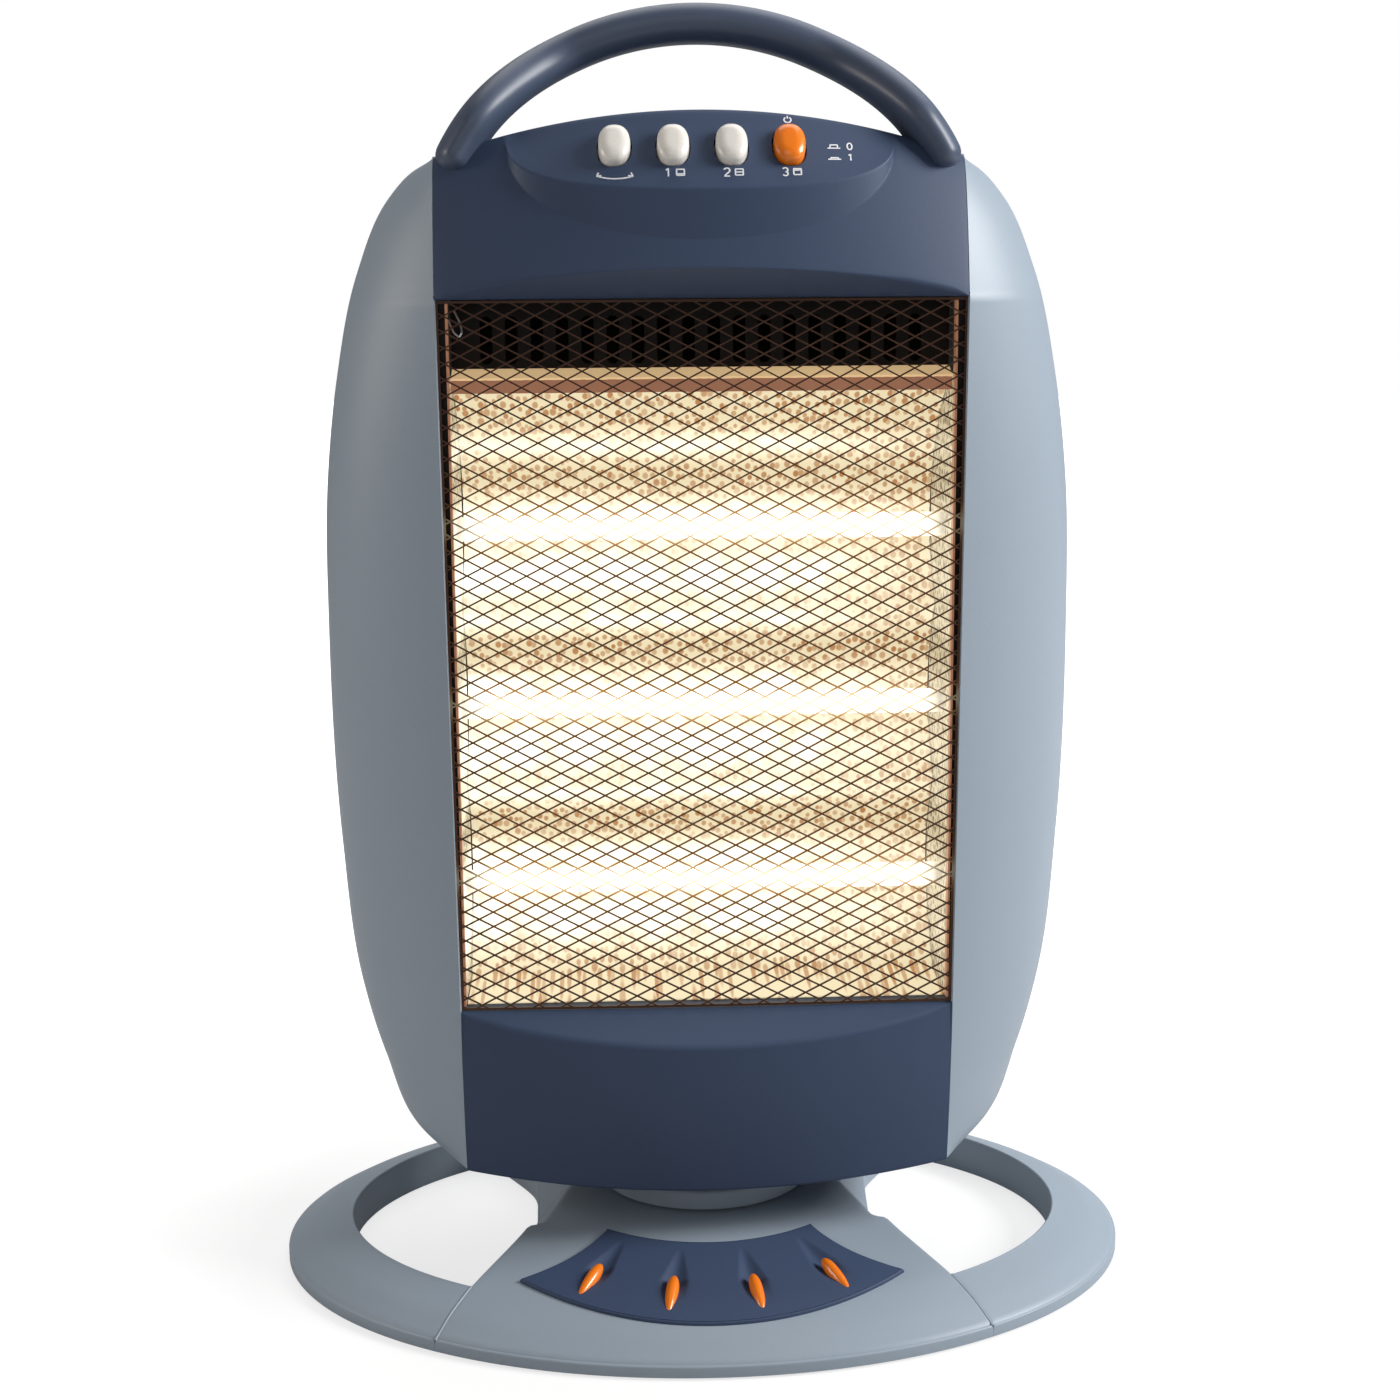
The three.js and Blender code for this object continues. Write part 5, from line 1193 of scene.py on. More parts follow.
def bottom_rear_cover():
    """Floor, rounded foot and back of the lower rear cover, up to the rear panel."""
    share = np.linspace(-1, 1, 121)
    x = share * PANEL_MID_WIDTH
    back, floor, flat = EDGE_DEPTH_REAR + bulge(x, BOW_REAR), cover_floor(x), np.zeros_like(x)
    rows = [
        (flat + SEAT / 2, floor), (back - 6, floor), (back - 2, floor + 4), (back, flat + COVER_BELLY),
        (back, flat + WINDOW_BOTTOM), (flat + SEAT / 2, flat + WINDOW_BOTTOM),
    ]
    return cover_skin(rows, [0, 3, 3, 14, 1.2, 0], share, 7)


def outline(share):
    """The head's outline: a smooth curve through HEAD_OUTLINE, as (half width, height).

    Between two of its points it is a cubic in the chord's length, with leans found from the
    points on both sides.
    """
    points = np.array(HEAD_OUTLINE, float)
    length = np.concatenate([[0], np.cumsum(np.hypot(*np.diff(points, axis=0).T))])
    lean = np.gradient(points, length, axis=0)
    place = share * length[-1]
    start = np.minimum(np.searchsorted(length, place, side="right") - 1, len(points) - 2)
    chord = (length[start + 1] - length[start])[:, None]
    t = (place - length[start])[:, None] / chord
    here, there = points[start], points[start + 1]
    leave, arrive = lean[start] * chord, lean[start + 1] * chord
    return (
        (2 * t ** 3 - 3 * t ** 2 + 1) * here + (t ** 3 - 2 * t ** 2 + t) * leave
        + (3 * t ** 2 - 2 * t ** 3) * there + (t ** 3 - t ** 2) * arrive
    )


def shell_edges(z):
    """Depth of the side shells' edges in front of the swivel axis and behind it."""
    below = EDGE_EASE * np.maximum(0, (WINDOW_BOTTOM - z) / (WINDOW_BOTTOM - HEAD_OUTLINE[0][1])) ** 2
    wide = np.full_like(z, PANEL_MID_WIDTH)
    front = np.where(z > WINDOW_TOP, -dome_y(wide, z), EDGE_DEPTH_FRONT - below)
    return front, EDGE_DEPTH_REAR - below - rear_draw(wide, z)


def side_shell(side):
    """A side shell: at each height half an oval, deeper in front than behind.

    The oval's half width is the outline's, and the shell is the part of it outside the panels.
    """
    profile = outline(np.linspace(0, 1, 241))
    profile = profile[profile[:, 1] > cover_floor(PANEL_MID_WIDTH) - COVER_APRON]
    width, z = profile[:, :1], profile[:, 1:]
    edge = panel_half_width(z) + SEAT / 2
    reach = np.maximum(width, edge + 0.4)
    span = np.arccos(edge / reach)
    share = np.linspace(-1, 1, 61)
    angle = span * share
    front, rear = shell_edges(z)
    depth = np.where(share < 0, front, rear) / np.sin(span)
    return spread(side * reach * np.cos(angle), depth * np.sin(angle), z + 0 * angle)


def handle_bar():
    """An oval section carried along half an ellipse, with blunt round ends.

    Towards its ends the section moves and grows forward, until it lies over the shoulders.
    """
    share = np.linspace(0, 1, 161)
    angle = np.radians(HANDLE_END_ANGLE + (180 - 2 * HANDLE_END_ANGLE) * share)[:, None]
    turn = np.linspace(0, 2 * np.pi, 56, endpoint=False)
    across = np.stack([HANDLE_RISE * np.cos(angle), HANDLE_HALF_SPAN * np.sin(angle)])
    across = across / np.linalg.norm(across, axis=0)
    from_end = np.degrees(np.minimum(angle, np.pi - angle))
    whole, none = HANDLE_TOE_ANGLES
    toe = np.clip((none - from_end) / (none - whole), 0, 1)
    toe = HANDLE_TOE * toe ** 2 * (3 - 2 * toe)
    close = np.clip((from_end - HANDLE_END_ANGLE) / 5, 0, 1)
    close = np.sqrt(1 - (1 - close) ** 2)
    cosine, sine = (np.sign(f(turn)) * np.abs(f(turn)) ** 0.88 for f in (np.cos, np.sin))
    radial = HANDLE_THICKNESS / 2 * close * cosine
    depth = (HANDLE_DEPTH / 2 + toe / 4) * close * sine - toe * 3 / 4
    x = HANDLE_HALF_SPAN * np.cos(angle) + across[0] * radial
    z = HANDLE_CENTRE_HEIGHT + HANDLE_RISE * np.sin(angle) + across[1] * radial
    return capped(spread(x, depth, z))


# ------------------------------------------------------------------ control panel
_, _, PLATEAU_Y, PLATEAU_Z, RIDGE_Y, RIDGE_Z = (float(v) for v in panel_profile(np.array(0.0)))
PANEL_TURN = math.pi / 2 - math.atan2(RIDGE_Y - PLATEAU_Y, RIDGE_Z - PLATEAU_Z)


def panel_point(x, z):
    """The point of the leaning panel at x and a height, on the line from its plateau to its ridge."""
    _, _, plateau_y, plateau_z, ridge_y, ridge_z = (float(v) for v in panel_profile(np.array(float(x))))
    return np.array([x, plateau_y + (ridge_y - plateau_y) * (z - plateau_z) / (ridge_z - plateau_z), z])


def on_panel(points, place):
    """Turns points from a flat drawing onto the leaning panel at a place."""
    turn = np.array([
        [1, 0, 0], [0, math.cos(PANEL_TURN), -math.sin(PANEL_TURN)],
        [0, math.sin(PANEL_TURN), math.cos(PANEL_TURN)],
    ])
    return points @ turn.T + place


def oval_ring(width, length, z, steps=64):
    """A stadium-like ring: an oval whose sides are drawn towards straight."""
    turn = np.linspace(0, 2 * np.pi, steps, endpoint=False)
    x = width / 2 * np.sign(np.cos(turn)) * np.abs(np.cos(turn)) ** 0.82
    y = length / 2 * np.sign(np.sin(turn)) * np.abs(np.sin(turn)) ** 0.86
    return spread(x, y, z + 0 * turn)


def button(place):
    """A domed button on its flange: rings that shrink as a quarter oval towards the top."""
    wide, long = BUTTON_WIDTH + BUTTON_FLANGE, BUTTON_LENGTH + BUTTON_FLANGE
    below, above = FLANGE_LEVELS
    rings = [oval_ring(STEM_WIDTH, STEM_WIDTH, z) for z in (STEM_FOOT, below)]
    rings += [oval_ring(wide, long, z) for z in FLANGE_LEVELS]
    rings += [oval_ring(BUTTON_WIDTH, BUTTON_LENGTH, z) for z in (above, 0, BUTTON_PROUD * BUTTON_SIDE)]
    for turn in np.radians(np.linspace(12, 88, 12)):
        shrink = 0.34 * (1 - math.cos(turn)) * 2.2
        rings.append(oval_ring(
            BUTTON_WIDTH * (1 - shrink), BUTTON_LENGTH * (1 - shrink * 0.72),
            BUTTON_PROUD * (BUTTON_SIDE + (1 - BUTTON_SIDE) * math.sin(turn)),
        ))
    return capped(on_panel(np.stack(rings), place))


def button_places():
    """Centres of the buttons on the panel."""
    return [panel_point(step * BUTTON_PITCH, BUTTON_HEIGHT) for step in BUTTON_STEPS]


def cut(target, patches):
    """Cuts a closed shape out of a piece and keeps the result as its mesh."""
    cutter = bpy.data.objects.new("cutter", mesh_of("cutter", patches))
    bpy.context.scene.collection.objects.link(cutter)
    modifier = target.modifiers.new("holes", "BOOLEAN")
    modifier.operation, modifier.solver, modifier.object = "DIFFERENCE", "MANIFOLD", cutter
    graph = bpy.context.evaluated_depsgraph_get()
    mesh = bpy.data.meshes.new_from_object(target.evaluated_get(graph))
    target.modifiers.clear()
    target.data = mesh
    bpy.data.objects.remove(cutter)
    mesh.shade_smooth()
    mesh.set_sharp_from_angle(angle=math.radians(SHARP_ANGLE))


class HEATER_OT_covers(bpy.types.Operator):
    """Upper and lower covers in front and behind, with the holes for the buttons"""

    bl_idname = "heater.covers"
    bl_label = "Dark covers"

    def execute(self, context):
        for name, skin in (
            ("top_front_cover", top_front_cover()), ("top_rear_cover", top_rear_cover()),
            ("bottom_front_cover", bottom_front_cover()), ("bottom_rear_cover", bottom_rear_cover()),
        ):
            centre = skin.reshape(-1, 3).mean(0)
            facing = 1 if (grid_normals(skin) * (skin - centre)).sum() > 0 else -1
            made = piece(f"{name}_skin", shell(skin, SKIN, facing), "head",
                         dark_plastic(), [name])
            if name == "top_front_cover":
                wide, long = BUTTON_WIDTH + 2 * BUTTON_GAP, BUTTON_LENGTH + 2 * BUTTON_GAP
                hole = np.stack([oval_ring(wide, long, z) for z in HOLE_LEVELS])
                for place in button_places():
                    cut(made, capped(on_panel(hole, place)))
        return {"FINISHED"}


class HEATER_OT_side_shells(bpy.types.Operator):
    """Pale side shells of the head"""

    bl_idname = "heater.side_shells"
    bl_label = "Side shells"

    def execute(self, context):
        for side, word in HANDS:
            skin = side_shell(side)
            facing = 1 if (grid_normals(skin)[..., 0] * side).sum() > 0 else -1
            piece(f"side_shell_{word}_skin", shell(skin, SHELL_SKIN, facing), "head",
                  pale_plastic(), [f"side_shell_{word}"])
        return {"FINISHED"}


class HEATER_OT_handle(bpy.types.Operator):
    """Arched carrying handle"""

    bl_idname = "heater.handle"
    bl_label = "Handle"

    def execute(self, context):
        piece("handle_skin", handle_bar(), "head", handle_plastic(), ["handle"])
        return {"FINISHED"}


class HEATER_OT_buttons(bpy.types.Operator):
    """Three ivory buttons and an orange one"""

    bl_idname = "heater.buttons"
    bl_label = "Buttons"

    def execute(self, context):
        finishes = [("ivory_plastic", ivory_plastic())] * 3 + [("orange_plastic", orange_plastic())]
        for i, (place, (slot, material)) in enumerate(zip(button_places(), finishes), 1):
            piece(f"button_{i}_cap", button(place), f"button_{i}", material, [f"button_{i}"])
        return {"FINISHED"}


def printed(points, level):
    """Lays points of a flat drawing (across, up) on the control panel, raised by level."""
    across = points[:, 0] * PANEL_MID_WIDTH / panel_half_width(BUTTON_HEIGHT)
    _, _, plateau_y, plateau_z, ridge_y, ridge_z = panel_profile(across)
    run = np.stack([ridge_y - plateau_y, ridge_z - plateau_z])
    along = run / np.linalg.norm(run, axis=0)
    start = (BUTTON_HEIGHT - plateau_z) / (ridge_z - plateau_z)
    y = plateau_y + run[0] * start + along[0] * points[:, 1] - along[1] * level
    z = plateau_z + run[1] * start + along[1] * points[:, 1] + along[0] * level
    return spread(points[:, 0], y, z)


def ribbon(line, width):
    """A printed line: a thin strip of a width along a line of (across, up) points."""
    run = np.gradient(line, axis=0)
    run /= np.maximum(np.linalg.norm(run, axis=1, keepdims=True), 1e-9)
    aside = np.stack([-run[:, 1], run[:, 0]], 1) * width / 2
    below, above = MARK_LEVELS
    left, right = line + aside, line - aside
    section = [(left, below), (left, above), (right, above), (right, below)]
    return np.stack([printed(edge, level) for edge, level in section], 1)


def arc_line(centre, radius, start, stop, steps=20):
    """Points of an arc, from a start angle to a stop angle in degrees."""
    angle = np.radians(np.linspace(start, stop, steps))
    return np.stack([centre[0] + radius * np.cos(angle), centre[1] + radius * np.sin(angle)], 1)


def numeral(text, size):
    """Strokes of a plain numeral from 0 to 3, centred on the origin."""
    h, w = size / 2, size * 0.28
    strokes = {
        "0": [np.stack([w * np.cos(t := np.linspace(0, 2 * np.pi, 33)), h * np.sin(t)], 1)],
        "1": [[(-w * 0.7, h * 0.55), (0.1 * w, h), (0.1 * w, -h)]],
        "2": [np.concatenate([arc_line((0, h - w), w, 165, -35, 16), [(-w, -h), (w, -h)]])],
        "3": [
            arc_line((0, h * 0.48), h * 0.52, 150, -90, 14),
            arc_line((0, -h * 0.48), h * 0.52, 90, -150, 14),
        ],
    }
    return strokes[text]


def marks():
    """Printed marks, each a place (across, up) and its lines.

    A swing arrow, a numeral and a small gauge for each heat, a switch sign, and the two states
    of a button.
    """
    below = -BUTTON_LENGTH / 2 - 3.6
    swing = arc_line((0, 17), 19.5, 249, 291, 16)
    tips = [[(-5.2, -0.9), (-7.0, -1.2), (-6.3, 0.6)], [(5.2, -0.9), (7.0, -1.2), (6.3, 0.6)]]
    first, *others = (step * BUTTON_PITCH for step in BUTTON_STEPS)
    groups = [((first, below - 0.6), [swing, *tips])]
    g = GAUGE_HALF
    gauge = [(-g, -g), (g, -g), (g, g), (-g, g), (-g, -g)]
    for number, across in enumerate(others, 1):
        groups.append(((across - 2.2, below), numeral(str(number), 4.0)))
        level = -g + 2 * g * number / 4
        groups.append(((across + 2.6, below), [gauge, [(-g, level), (g, level)]]))
    switch_sign = [arc_line((0, 0), 1.4, 125, 415, 20), [(0, 0.6), (0, 2.0)]]
    groups.append(((others[-1], -below + 1.4), switch_sign))
    for number, up, rise in (("0", -0.6, 1.7), ("1", -6.4, 0.8)):
        key = [(-1.5, 0), (-1.5, rise), (1.5, rise), (1.5, 0)]
        groups.append(((STATE_PLACE, up), [key, [(-2.6, 0), (2.6, 0)]]))
        groups.append(((STATE_PLACE + 6.4, up + 1), numeral(number, 3.4)))
    return groups


class HEATER_OT_panel_marks(bpy.types.Operator):
    """Printed marks on the control panel: a swing arrow, plain numerals and small signs"""

    bl_idname = "heater.panel_marks"
    bl_label = "Panel marks"

    def execute(self, context):
        patches = []
        for place, lines in marks():
            for line in lines:
                line = np.array(line, float)
                steps = np.linspace(0, len(line) - 1, 4 * len(line) + 1)
                fine = np.stack([np.interp(steps, np.arange(len(line)), line[:, k]) for k in (0, 1)], 1)
                patches += capped(ribbon(fine + place, MARK_STROKE))
        piece("panel_marks", patches, "head", ink())
        return {"FINISHED"}


# ------------------------------------------------------------------ radiant window
def hammered(u, v):
    """A field of pebbles from 0 to 1: three waves at 60 degrees to each other, gently warped."""
    pitch = DIMPLE_PITCH / (2 * np.pi)
    u = u + 0.9 * np.sin(v / 7.3) + 0.6 * np.sin(v / 3.1 + u / 5.7)
    v = v + 0.9 * np.sin(u / 6.1) + 0.6 * np.sin(u / 3.7 - v / 4.9)
    turns = (0, np.pi / 3, 2 * np.pi / 3)
    waves = sum(np.cos((u * math.cos(a) + v * math.sin(a)) / pitch) for a in turns)
    return (waves + 1.5) / 4.5


def reflector_line(step):
    """The reflector's section in (y, z): flange, top, three troughs as parabolas, bottom."""
    half_pitch = (TUBE_HEIGHTS[0] - TUBE_HEIGHTS[1]) / 2

    def trough(z):
        nearest = np.array(TUBE_HEIGHTS)[np.abs(z[:, None] - np.array(TUBE_HEIGHTS)).argmin(1)]
        return REFLECTOR_BACK - REFLECTOR_RIDGE * ((z - nearest) / half_pitch) ** 2

    top = REFLECTOR_TOP - 3
    z = np.arange(top, REFLECTOR_BOTTOM + 1, -step)
    line = np.concatenate([
        [(-REFLECTOR_FRONT, REFLECTOR_TOP - REFLECTOR_FLANGE), (-REFLECTOR_FRONT, REFLECTOR_TOP)],
        np.stack([trough(z), z], 1), [(-REFLECTOR_FRONT, REFLECTOR_BOTTOM)],
    ])
    length = np.concatenate([[0], np.cumsum(np.hypot(*np.diff(line, axis=0).T))])
    even = np.arange(0, length[-1], step)
    even = np.sort(np.concatenate([even, length[[1, -1]]]))
    return np.stack([np.interp(even, length, line[:, k]) for k in (0, 1)], 1), even


class HEATER_OT_reflector(bpy.types.Operator):
    """Hammered reflector in three troughs, with its two end plates"""

    bl_idname = "heater.reflector"
    bl_label = "Reflector"

    def execute(self, context):
        depth = sizes().dimple / MM
        line, length = reflector_line(1.7)
        x = np.linspace(-REFLECTOR_HALF_WIDTH, REFLECTOR_HALF_WIDTH, 120)
        y, z = line[:, :1], line[:, 1:]
        skin = spread(x + 0 * y, y + 0 * x, z + 0 * x)
        normal = grid_normals(skin)
        facing = 1 if normal[..., 1].mean() < 0 else -1
        field = hammered(x + 0 * y, length[:, None] + 0 * x)
        hold = np.clip(np.minimum(length[:, None], length[-1] - length[:, None]) / 12 - 1, 0, 1)
        skin = skin + facing * normal * depth * (field * hold)[..., None]
        skin[..., 2] = np.clip(skin[..., 2], REFLECTOR_BOTTOM, REFLECTOR_TOP)
        skin[..., 1] = np.maximum(skin[..., 1], -REFLECTOR_FRONT)
        piece("reflector_sheet", shell(skin, SHEET, facing), "head",
              reflector_sheet(), ["reflector"])
        for side, word in HANDS:
            node = f"reflector_end_{word}"
            a, b = low(node), high(node)
            y, z = np.linspace(a[1], b[1], 40), np.linspace(a[2], b[2], 150)[:, None]
            inner = (b if side < 0 else a)[0]
            outer = (a if side < 0 else b)[0]
            near = np.minimum(np.minimum(y - a[1], b[1] - y), np.minimum(z - a[2], b[2] - z))
            relief = depth * 0.9 * hammered(y + 0 * z, z + 0 * y) * np.clip(near / 4, 0, 1)
            for place in TUBE_HEIGHTS:
                away = np.hypot(y + TUBE_DEPTH, z - place)
                relief = relief * np.clip((away - 8) / 4, 0, 1)
            face = spread(inner + side * (depth - relief), y, z + 0 * y)
            back = face.copy()
            back[..., 0] = outer
            plate = [(face[:, ::-1], False), (back, False), rim_strip(face, back)]
            piece(f"{node}_sheet", plate, "head", end_plate_sheet(), [node])
        return {"FINISHED"}


def block(corner, opposite):
    """A box between two corners."""
    (x0, y0, z0), (x1, y1, z1) = corner, opposite
    ring = np.array([(x0, y0), (x1, y0), (x1, y1), (x0, y1)], float)
    return capped(np.stack([spread(ring[:, 0], ring[:, 1], z) for z in (z0, z1)]))


class HEATER_OT_window_trim(bpy.types.Operator):
    """Flange and lip above the reflector, and strips at the window's sides, each with a painted glow"""

    bl_idname = "heater.window_trim"
    bl_label = "Window trim"

    def execute(self, context):
        wide = REFLECTOR_HALF_WIDTH
        # Painted glow on the flange and the side strips, standing in for their reflection of the tubes.
        band = warm_metal("Reflector flange", colours().band, 0.55)
        flange = block((-wide, -REFLECTOR_FRONT - 0.9, REFLECTOR_TOP - REFLECTOR_FLANGE),
                       (wide, -REFLECTOR_FRONT - 0.2, REFLECTOR_TOP + 0.2))
        piece("reflector_flange", flange, "head", band)
        x = np.linspace(-wide, wide, 40)
        line = [(-REFLECTOR_FRONT - 0.4, REFLECTOR_TOP + 0.3), (-VENT_DEPTH - 0.6, VENT_BOTTOM + 2.2),
                (-VENT_DEPTH - 0.6, VENT_BOTTOM + 3.0), (-REFLECTOR_FRONT - 0.4, REFLECTOR_TOP + 1.0)]
        ring = np.stack([spread(x, y, z) for y, z in line], 1)
        # Painted glow on the lip: a bright reflection of the tubes.
        piece("reflector_lip", capped(ring), "head",
              warm_metal("Reflector lip", (0.95, 0.66, 0.34), 0.5))
        bottom, top = WINDOW_BOTTOM + TRIM_INSET, WINDOW_TOP - TRIM_INSET
        for side, word in HANDS:
            levels = np.array([bottom, bottom, top, top])
            reach = panel_half_width(levels) - SEAT - 0.4
            reach[[0, 3]] = wide + 0.5
            ring = [spread(side * reach, y, levels) for y in (-WINDOW_DEPTH + 2.4, -WINDOW_DEPTH + 3)]
            piece(f"window_cheek_{word}", capped(np.stack(ring)), "head", brown_steel())
            inner, outer = side * (wide + 0.4), side * (wide + 1.3)
            strip = block((min(inner, outer), -WINDOW_DEPTH + 1.6, bottom),
                          (max(inner, outer), -REFLECTOR_FRONT - 0.3, top))
            piece(f"window_strip_{word}", strip, "head", band)
        return {"FINISHED"}


class HEATER_OT_tubes(bpy.types.Operator):
    """Quartz tubes with their filaments and ceramic caps"""

    bl_idname = "heater.tubes"
    bl_label = "Tubes"

    def execute(self, context):
        end = high("quartz_tube_1")[0]
        middle = np.linspace(-end + 4, end - 4, 60)
        x = np.concatenate([[-end, -end + 0.5], middle, [end - 0.5, end]])[:, None]
        turn = np.linspace(0, 2 * np.pi, 40, endpoint=False)
        radius = np.where(np.abs(x) > end - 0.3, TUBE_RADIUS - 0.5, TUBE_RADIUS)
        for i, level in enumerate(TUBE_HEIGHTS, 1):
            y, z = -TUBE_DEPTH + radius * np.cos(turn), level + radius * np.sin(turn)
            piece(f"quartz_tube_{i}_glow", capped(spread(x, y, z)), "head", glowing_quartz(),
                  [f"quartz_tube_{i}"])
            self.coil(i, level)
            for side, word in HANDS:
                self.cap(f"tube_cap_{word}_{i}", side, level)
        return {"FINISHED"}

    def coil(self, i, level):
        """A filament: a straight run at each end and a helix between."""
        end = high(f"filament_{i}")[0]
        turns = int(COIL_LENGTH / COIL_PITCH)
        t = np.linspace(0, 1, turns * 10 + 1)
        x = (t - 0.5) * COIL_LENGTH
        angle = 2 * np.pi * turns * t
        grow = np.clip(np.minimum(t, 1 - t) * turns, 0, 1) * (COIL_RADIUS - COIL_WIRE)
        line = spread(x, -TUBE_DEPTH + grow * np.cos(angle), level + grow * np.sin(angle))
        line = np.concatenate([[(-end, -TUBE_DEPTH, level)], line, [(end, -TUBE_DEPTH, level)]])
        piece(f"filament_{i}_coil", round_bar(line, COIL_WIRE, (0, 0.3, 1), 5), "head",
              glowing_coil(), [f"filament_{i}"], 80)

    def cap(self, node, side, level):
        """A ceramic cap: a cylinder with rounded ends and a groove round its middle, along X."""
        a, b = low(node), high(node)
        radius, length = (b[2] - a[2]) / 2, b[0] - a[0]
        profile = round_profile([
            (0, 0), (radius, 0), (radius, length * 0.4), (radius - 1, length * 0.45),
            (radius, length * 0.5), (radius, length), (0, length),
        ], (0, 0.8, 0.6, 0.6, 0.6, 1.2, 0))
        turned = revolved(profile, 48)
        start = a[0] if side > 0 else b[0]
        grid = spread(start + side * turned[..., 2], turned[..., 0] - TUBE_DEPTH, level + turned[..., 1])
        piece(f"{node}_fine", [(grid, True)], "head", ceramic(), [node])


def guard_depth(x, z):
    """Y of the guard: bent forward between its edges, most at mid height."""
    low_edge, high_edge = WINDOW_BOTTOM + SEAT, WINDOW_TOP - SEAT
    across = 1 - np.minimum(1, np.abs(x) / PANEL_HALF_WIDTH_HIGH) ** 2
    up = np.sin(np.pi * np.clip((z - low_edge) / (high_edge - low_edge), 0, 1))
    return -WINDOW_DEPTH + STRAND_DEPTH - across * (GUARD_BULGE_EDGE + GUARD_BULGE * up)


def strands(lean, width):
    """All strands that lean one way, as closed bars that follow the guard's bend.

    Strand n is the line z = start + n row + lean x, cut off at the window's edges.
    """
    bottom, top = WINDOW_BOTTOM + SEAT + 0.6, WINDOW_TOP - SEAT - 0.6
    half = PANEL_HALF_WIDTH_LOW - 0.2
    slope = lean * DIAMOND_HEIGHT / DIAMOND_WIDTH
    start = np.arange(bottom - half * abs(slope), top + half * abs(slope), DIAMOND_HEIGHT)
    reach = (np.array([[bottom], [top]]) - start) / slope
    first = np.maximum(-half, reach.min(0))
    last = np.minimum(half, reach.max(0))
    kept = last - first > 1.5
    start, first, last = start[kept][:, None], first[kept][:, None], last[kept][:, None]
    x = first + (last - first) * np.linspace(0, 1, 25)
    z = start + slope * x
    wide = half + (panel_half_width(z) - PANEL_HALF_WIDTH_LOW)
    x = x * wide / half
    centre = spread(x, guard_depth(x, z), z)
    run = np.gradient(centre, axis=1)
    run /= np.linalg.norm(run, axis=-1, keepdims=True)
    aside = np.cross(run, (0, 1, 0))
    aside /= np.linalg.norm(aside, axis=-1, keepdims=True)
    out = np.cross(aside, run)
    corners = [(-1, -1), (-1, 1), (1, 1), (1, -1)]
    section = np.stack([
        centre + aside * a * width / 2 + out * b * STRAND_DEPTH / 2 for a, b in corners
    ], 2)
    return tubes(centre, section)


class HEATER_OT_guard(bpy.types.Operator):
    """Guard of crossing strands inside a thin border"""

    bl_idname = "heater.guard"
    bl_label = "Guard"

    def execute(self, context):
        width = sizes().strand / MM
        patches = strands(1, width) + strands(-1, width)
        bottom, top = WINDOW_BOTTOM + SEAT, WINDOW_TOP - SEAT
        t = np.linspace(0, 1, 41)[:-1]
        corners = [(-1, bottom), (1, bottom), (1, top), (-1, top), (-1, bottom)]
        path = np.concatenate([
            np.stack([a[0] + (b[0] - a[0]) * t, a[1] + (b[1] - a[1]) * t], 1)
            for a, b in zip(corners, corners[1:])
        ])
        z = path[:, 1]
        rim = []
        for inset, back in ((0, 0), (1.0, 0), (1.0, 0.8), (0, 0.8)):
            level = np.clip(z, bottom + inset, top - inset)
            x = path[:, 0] * (panel_half_width(level) - SEAT - inset)
            rim.append(spread(x, guard_depth(x, level) - STRAND_DEPTH / 2 + back, level))
        rim = np.stack(rim + rim[:1])
        patches.append((rim, True))
        piece("guard_net", patches, "head", guard_wire(), ["grille"], 50)
        return {"FINISHED"}


class HEATER_OT_wire_clip(bpy.types.Operator):
    """Small bent wire in the upper left corner of the window"""

    bl_idname = "heater.wire_clip"
    bl_label = "Wire clip"

    def execute(self, context):
        knots = np.array(CLIP_KNOTS)
        t = np.linspace(0, len(knots) - 1, 64)
        line = np.stack([np.interp(t, np.arange(len(knots)), knots[:, k]) for k in range(3)], 1)
        for _ in range(6):
            line[1:-1] = (line[:-2] + 2 * line[1:-1] + line[2:]) / 4
        piece("wire_clip", round_bar(line, CLIP_WIRE, (0, 1, 0.2), 8), "head", steel())
        return {"FINISHED"}


class HEATER_OT_rear_trim(bpy.types.Operator):
    """Countersunk screws in the rear covers"""

    bl_idname = "heater.rear_trim"
    bl_label = "Rear screws"

    def execute(self, context):
        profile = round_profile([(0, 0.5), (1.4, 0.5), (1.5, 1.0), (3.4, 0.6), (3.4, -1.0), (0, -1.0)],
                                (0, 0.2, 0.2, 0.3, 0, 0))
        turned = revolved(profile, 40)
        places = [(side * REAR_SCREW_REACH, height) for height in REAR_SCREW_HEIGHTS for side in (-1, 1)]
        for i, (x, height) in enumerate(places, 1):
            y = EDGE_DEPTH_REAR + float(bulge(np.array(x), BOW_REAR)) - 0.8
            grid = spread(x + turned[..., 0], y + turned[..., 2], height + turned[..., 1])
            piece(f"rear_screw_{i}", [(grid, True)], "head", steel())
        return {"FINISHED"}


class HEATER_OT_inner_parts(bpy.types.Operator):
    """Finishes of the drive, plates and other pieces that keep their own shape"""

    bl_idname = "heater.inner_parts"
    bl_label = "Inner parts"

    def execute(self, context):
        dress(brown_steel(), "vent_plate", "rear_panel")
        dress(steel(), "base_weight_plate", "swivel_spindle", "spindle_nut", "crank_yoke",
              "motor_bracket", "swivel_motor", *(f"wing_screw_{i}" for i in range(1, 5)))
        dress(white_plastic(), "wear_washer", "crank", "tip_plunger")
        dress(black_plastic(), "cord_gland", "tip_switch", "switch_block", "thermal_cutout")
        return {"FINISHED"}


# ------------------------------------------------------------------ studio
def lamp(name, place, target, width, power, colour=(1, 1, 1)):
    """A square soft lamp that looks at a point. Places are in metres."""
    data = bpy.data.lights.new(name, "AREA")
    data.size, data.energy, data.color = width, power, colour
    made = bpy.data.objects.new(name, data)
    bpy.context.scene.collection.objects.link(made)
    made.location = place
    made.rotation_euler = (Vector(target) - Vector(place)).to_track_quat("-Z", "Y").to_euler()
    return made


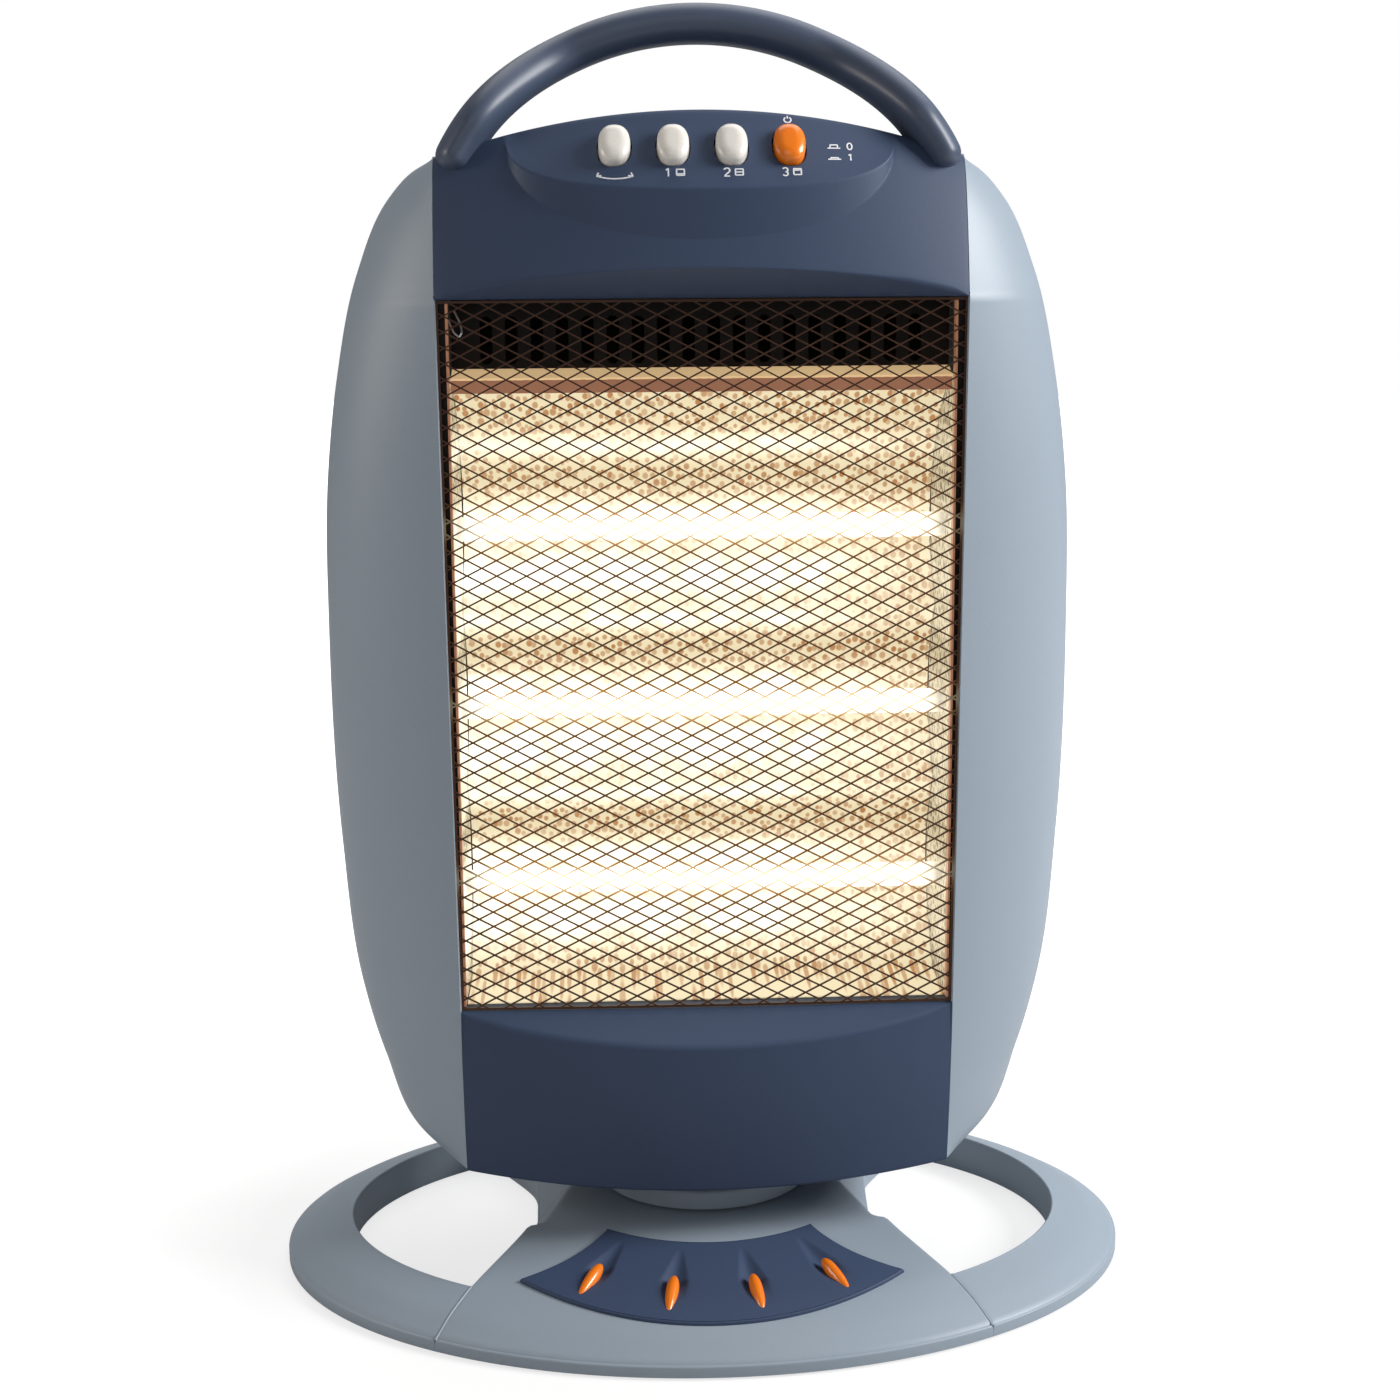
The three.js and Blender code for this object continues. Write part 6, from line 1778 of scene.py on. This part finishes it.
def white_seen(tree):
    """1 for rays from the eye and through glass, else 0."""
    path = tree.nodes.new("ShaderNodeLightPath")
    return math_node(tree, "MAXIMUM", path.outputs["Is Camera Ray"], path.outputs["Is Transmission Ray"])


def mix_shaders(tree, share, first, second, end):
    """Mixes two shaders by a share and gives the result to a tree's end node."""
    mix = tree.nodes.new("ShaderNodeMixShader")
    for socket, value in zip(mix.inputs, (share, first.outputs[0], second.outputs[0])):
        feed(tree, socket, value)
    fill(tree, tree.nodes[end], Surface=mix.outputs[0])


class HEATER_OT_stage(bpy.types.Operator):
    """Camera of the photograph's view, soft lamps, white floor and surroundings"""

    bl_idname = "heater.stage"
    bl_label = "Stage"

    def execute(self, context):
        self.camera(context)
        self.surroundings(context)
        self.floor(context)
        lamp("Key", (2.3, -0.45, 1.6), (0, 0, 0.3), 1.2, sizes().key_light)
        lamp("Fill", (-0.6, -2.2, 1.3), (0, 0, 0.3), 1.5, 6)
        lamp("Rim", (-2.2, -0.2, 0.9), (0, 0, 0.3), 0.8, 14, (1, 0.93, 0.86))
        lamp("Top", (0.2, 1.1, 2.1), (0, 0, 0.1), 2.0, 24)
        context.scene.view_settings.view_transform = "Standard"
        return {"FINISHED"}

    def camera(self, context):
        """The camera looks a little down and to the right, turned slightly about its own axis."""
        data = bpy.data.cameras.new("View")
        data.sensor_width = SENSOR_WIDTH
        data.lens = SENSOR_WIDTH * FOCAL_PIXELS / IMAGE_PIXELS
        pitch, turn, roll = (math.radians(v) for v in (CAMERA_PITCH, CAMERA_TURN, CAMERA_ROLL))
        ahead = Vector((
            math.sin(turn) * math.cos(pitch), math.cos(turn) * math.cos(pitch), -math.sin(pitch),
        ))
        right = Vector((math.cos(turn), -math.sin(turn), 0))
        above = right.cross(ahead)
        tilted = right * math.cos(roll) + above * math.sin(roll)
        above = above * math.cos(roll) - right * math.sin(roll)
        made = bpy.data.objects.new("View", data)
        context.scene.collection.objects.link(made)
        place = Vector((
            -CAMERA_DISTANCE * math.sin(turn), -CAMERA_DISTANCE * math.cos(turn), CAMERA_HEIGHT,
        )) * MM
        facing = Matrix((tilted, above, -ahead)).transposed().to_4x4()
        made.matrix_world = Matrix.Translation(place) @ facing
        context.scene.camera = made

    def surroundings(self, context):
        """Weak even light all round, seen as plain white."""
        world = bpy.data.worlds.new("Studio")
        world.use_nodes = True
        tree = world.node_tree
        plain = fill(tree, tree.nodes["Background"], Color=(1, 1, 1, 1), Strength=SURROUNDINGS)
        seen = add(tree, "ShaderNodeBackground", Color=(1, 1, 1, 1), Strength=1.0)
        mix_shaders(tree, white_seen(tree), plain, seen, "World Output")
        context.scene.world = world

    def floor(self, context):
        """A wide round floor that keeps part of its own shading near the heater, for the shadow.

        Seen by the camera, it is plain white further out.
        """
        turn = np.linspace(0, 2 * np.pi, 64, endpoint=False)
        radii = (1e-3, 900, 6000)
        rings = np.stack([spread(r * np.cos(turn), r * np.sin(turn), 0 * turn) for r in radii])
        mesh = mesh_of("floor", [(rings, True)])
        made = bpy.data.objects.new("floor", mesh)
        context.scene.collection.objects.link(made)
        made.location.z = -FLOOR_DROP * MM
        material, tree, surface = blank("Floor")
        fill(tree, surface, Base_Color=(FLOOR_GREY, FLOOR_GREY, FLOOR_GREY, 1), Roughness=0.9)
        glow = add(tree, "ShaderNodeEmission", Color=(1, 1, 1, 1), Strength=FLOOR_GLOW)
        away = add(tree, "ShaderNodeVectorMath", operation="LENGTH")
        feed(tree, away.inputs[0], coordinate(tree))
        share = remap(tree, away.outputs["Value"], *FLOOR_FADE, FLOOR_SHARE, 1.0)
        share = product(tree, white_seen(tree), share)
        mix_shaders(tree, share, surface, glow, "Material Output")
        mesh.materials.append(material)


OPERATORS = (
    HEATER_OT_base, HEATER_OT_base_trim, HEATER_OT_turntable, HEATER_OT_covers, HEATER_OT_side_shells,
    HEATER_OT_handle, HEATER_OT_buttons, HEATER_OT_panel_marks, HEATER_OT_reflector,
    HEATER_OT_window_trim, HEATER_OT_tubes, HEATER_OT_guard, HEATER_OT_wire_clip, HEATER_OT_rear_trim,
    HEATER_OT_inner_parts, HEATER_OT_stage,
)


class HEATER_PT_panel(bpy.types.Panel):
    """Lists the heater's settings and makers in the sidebar"""

    bl_idname = "HEATER_PT_panel"
    bl_label = "Halogen heater"
    bl_space_type = "VIEW_3D"
    bl_region_type = "UI"
    bl_category = "Heater"

    def draw(self, context):
        for settings in (context.scene.heater_sizes, context.scene.heater_colours):
            for name in settings.__annotations__:
                self.layout.prop(settings, name)
        for operator in OPERATORS:
            self.layout.operator(operator.bl_idname)


CLASSES = (HeaterSizes, HeaterColours, *OPERATORS, HEATER_PT_panel)


def register():
    for item in CLASSES:
        bpy.utils.register_class(item)
    bpy.types.Scene.heater_sizes = PointerProperty(type=HeaterSizes)
    bpy.types.Scene.heater_colours = PointerProperty(type=HeaterColours)


def unregister():
    del bpy.types.Scene.heater_sizes
    del bpy.types.Scene.heater_colours
    for item in reversed(CLASSES):
        bpy.utils.unregister_class(item)


def main():
    """Makes every piece and the stage."""
    register()
    for operator in OPERATORS:
        group, name = operator.bl_idname.split(".")
        getattr(getattr(bpy.ops, group), name)()


if __name__ == "__main__":
    main()
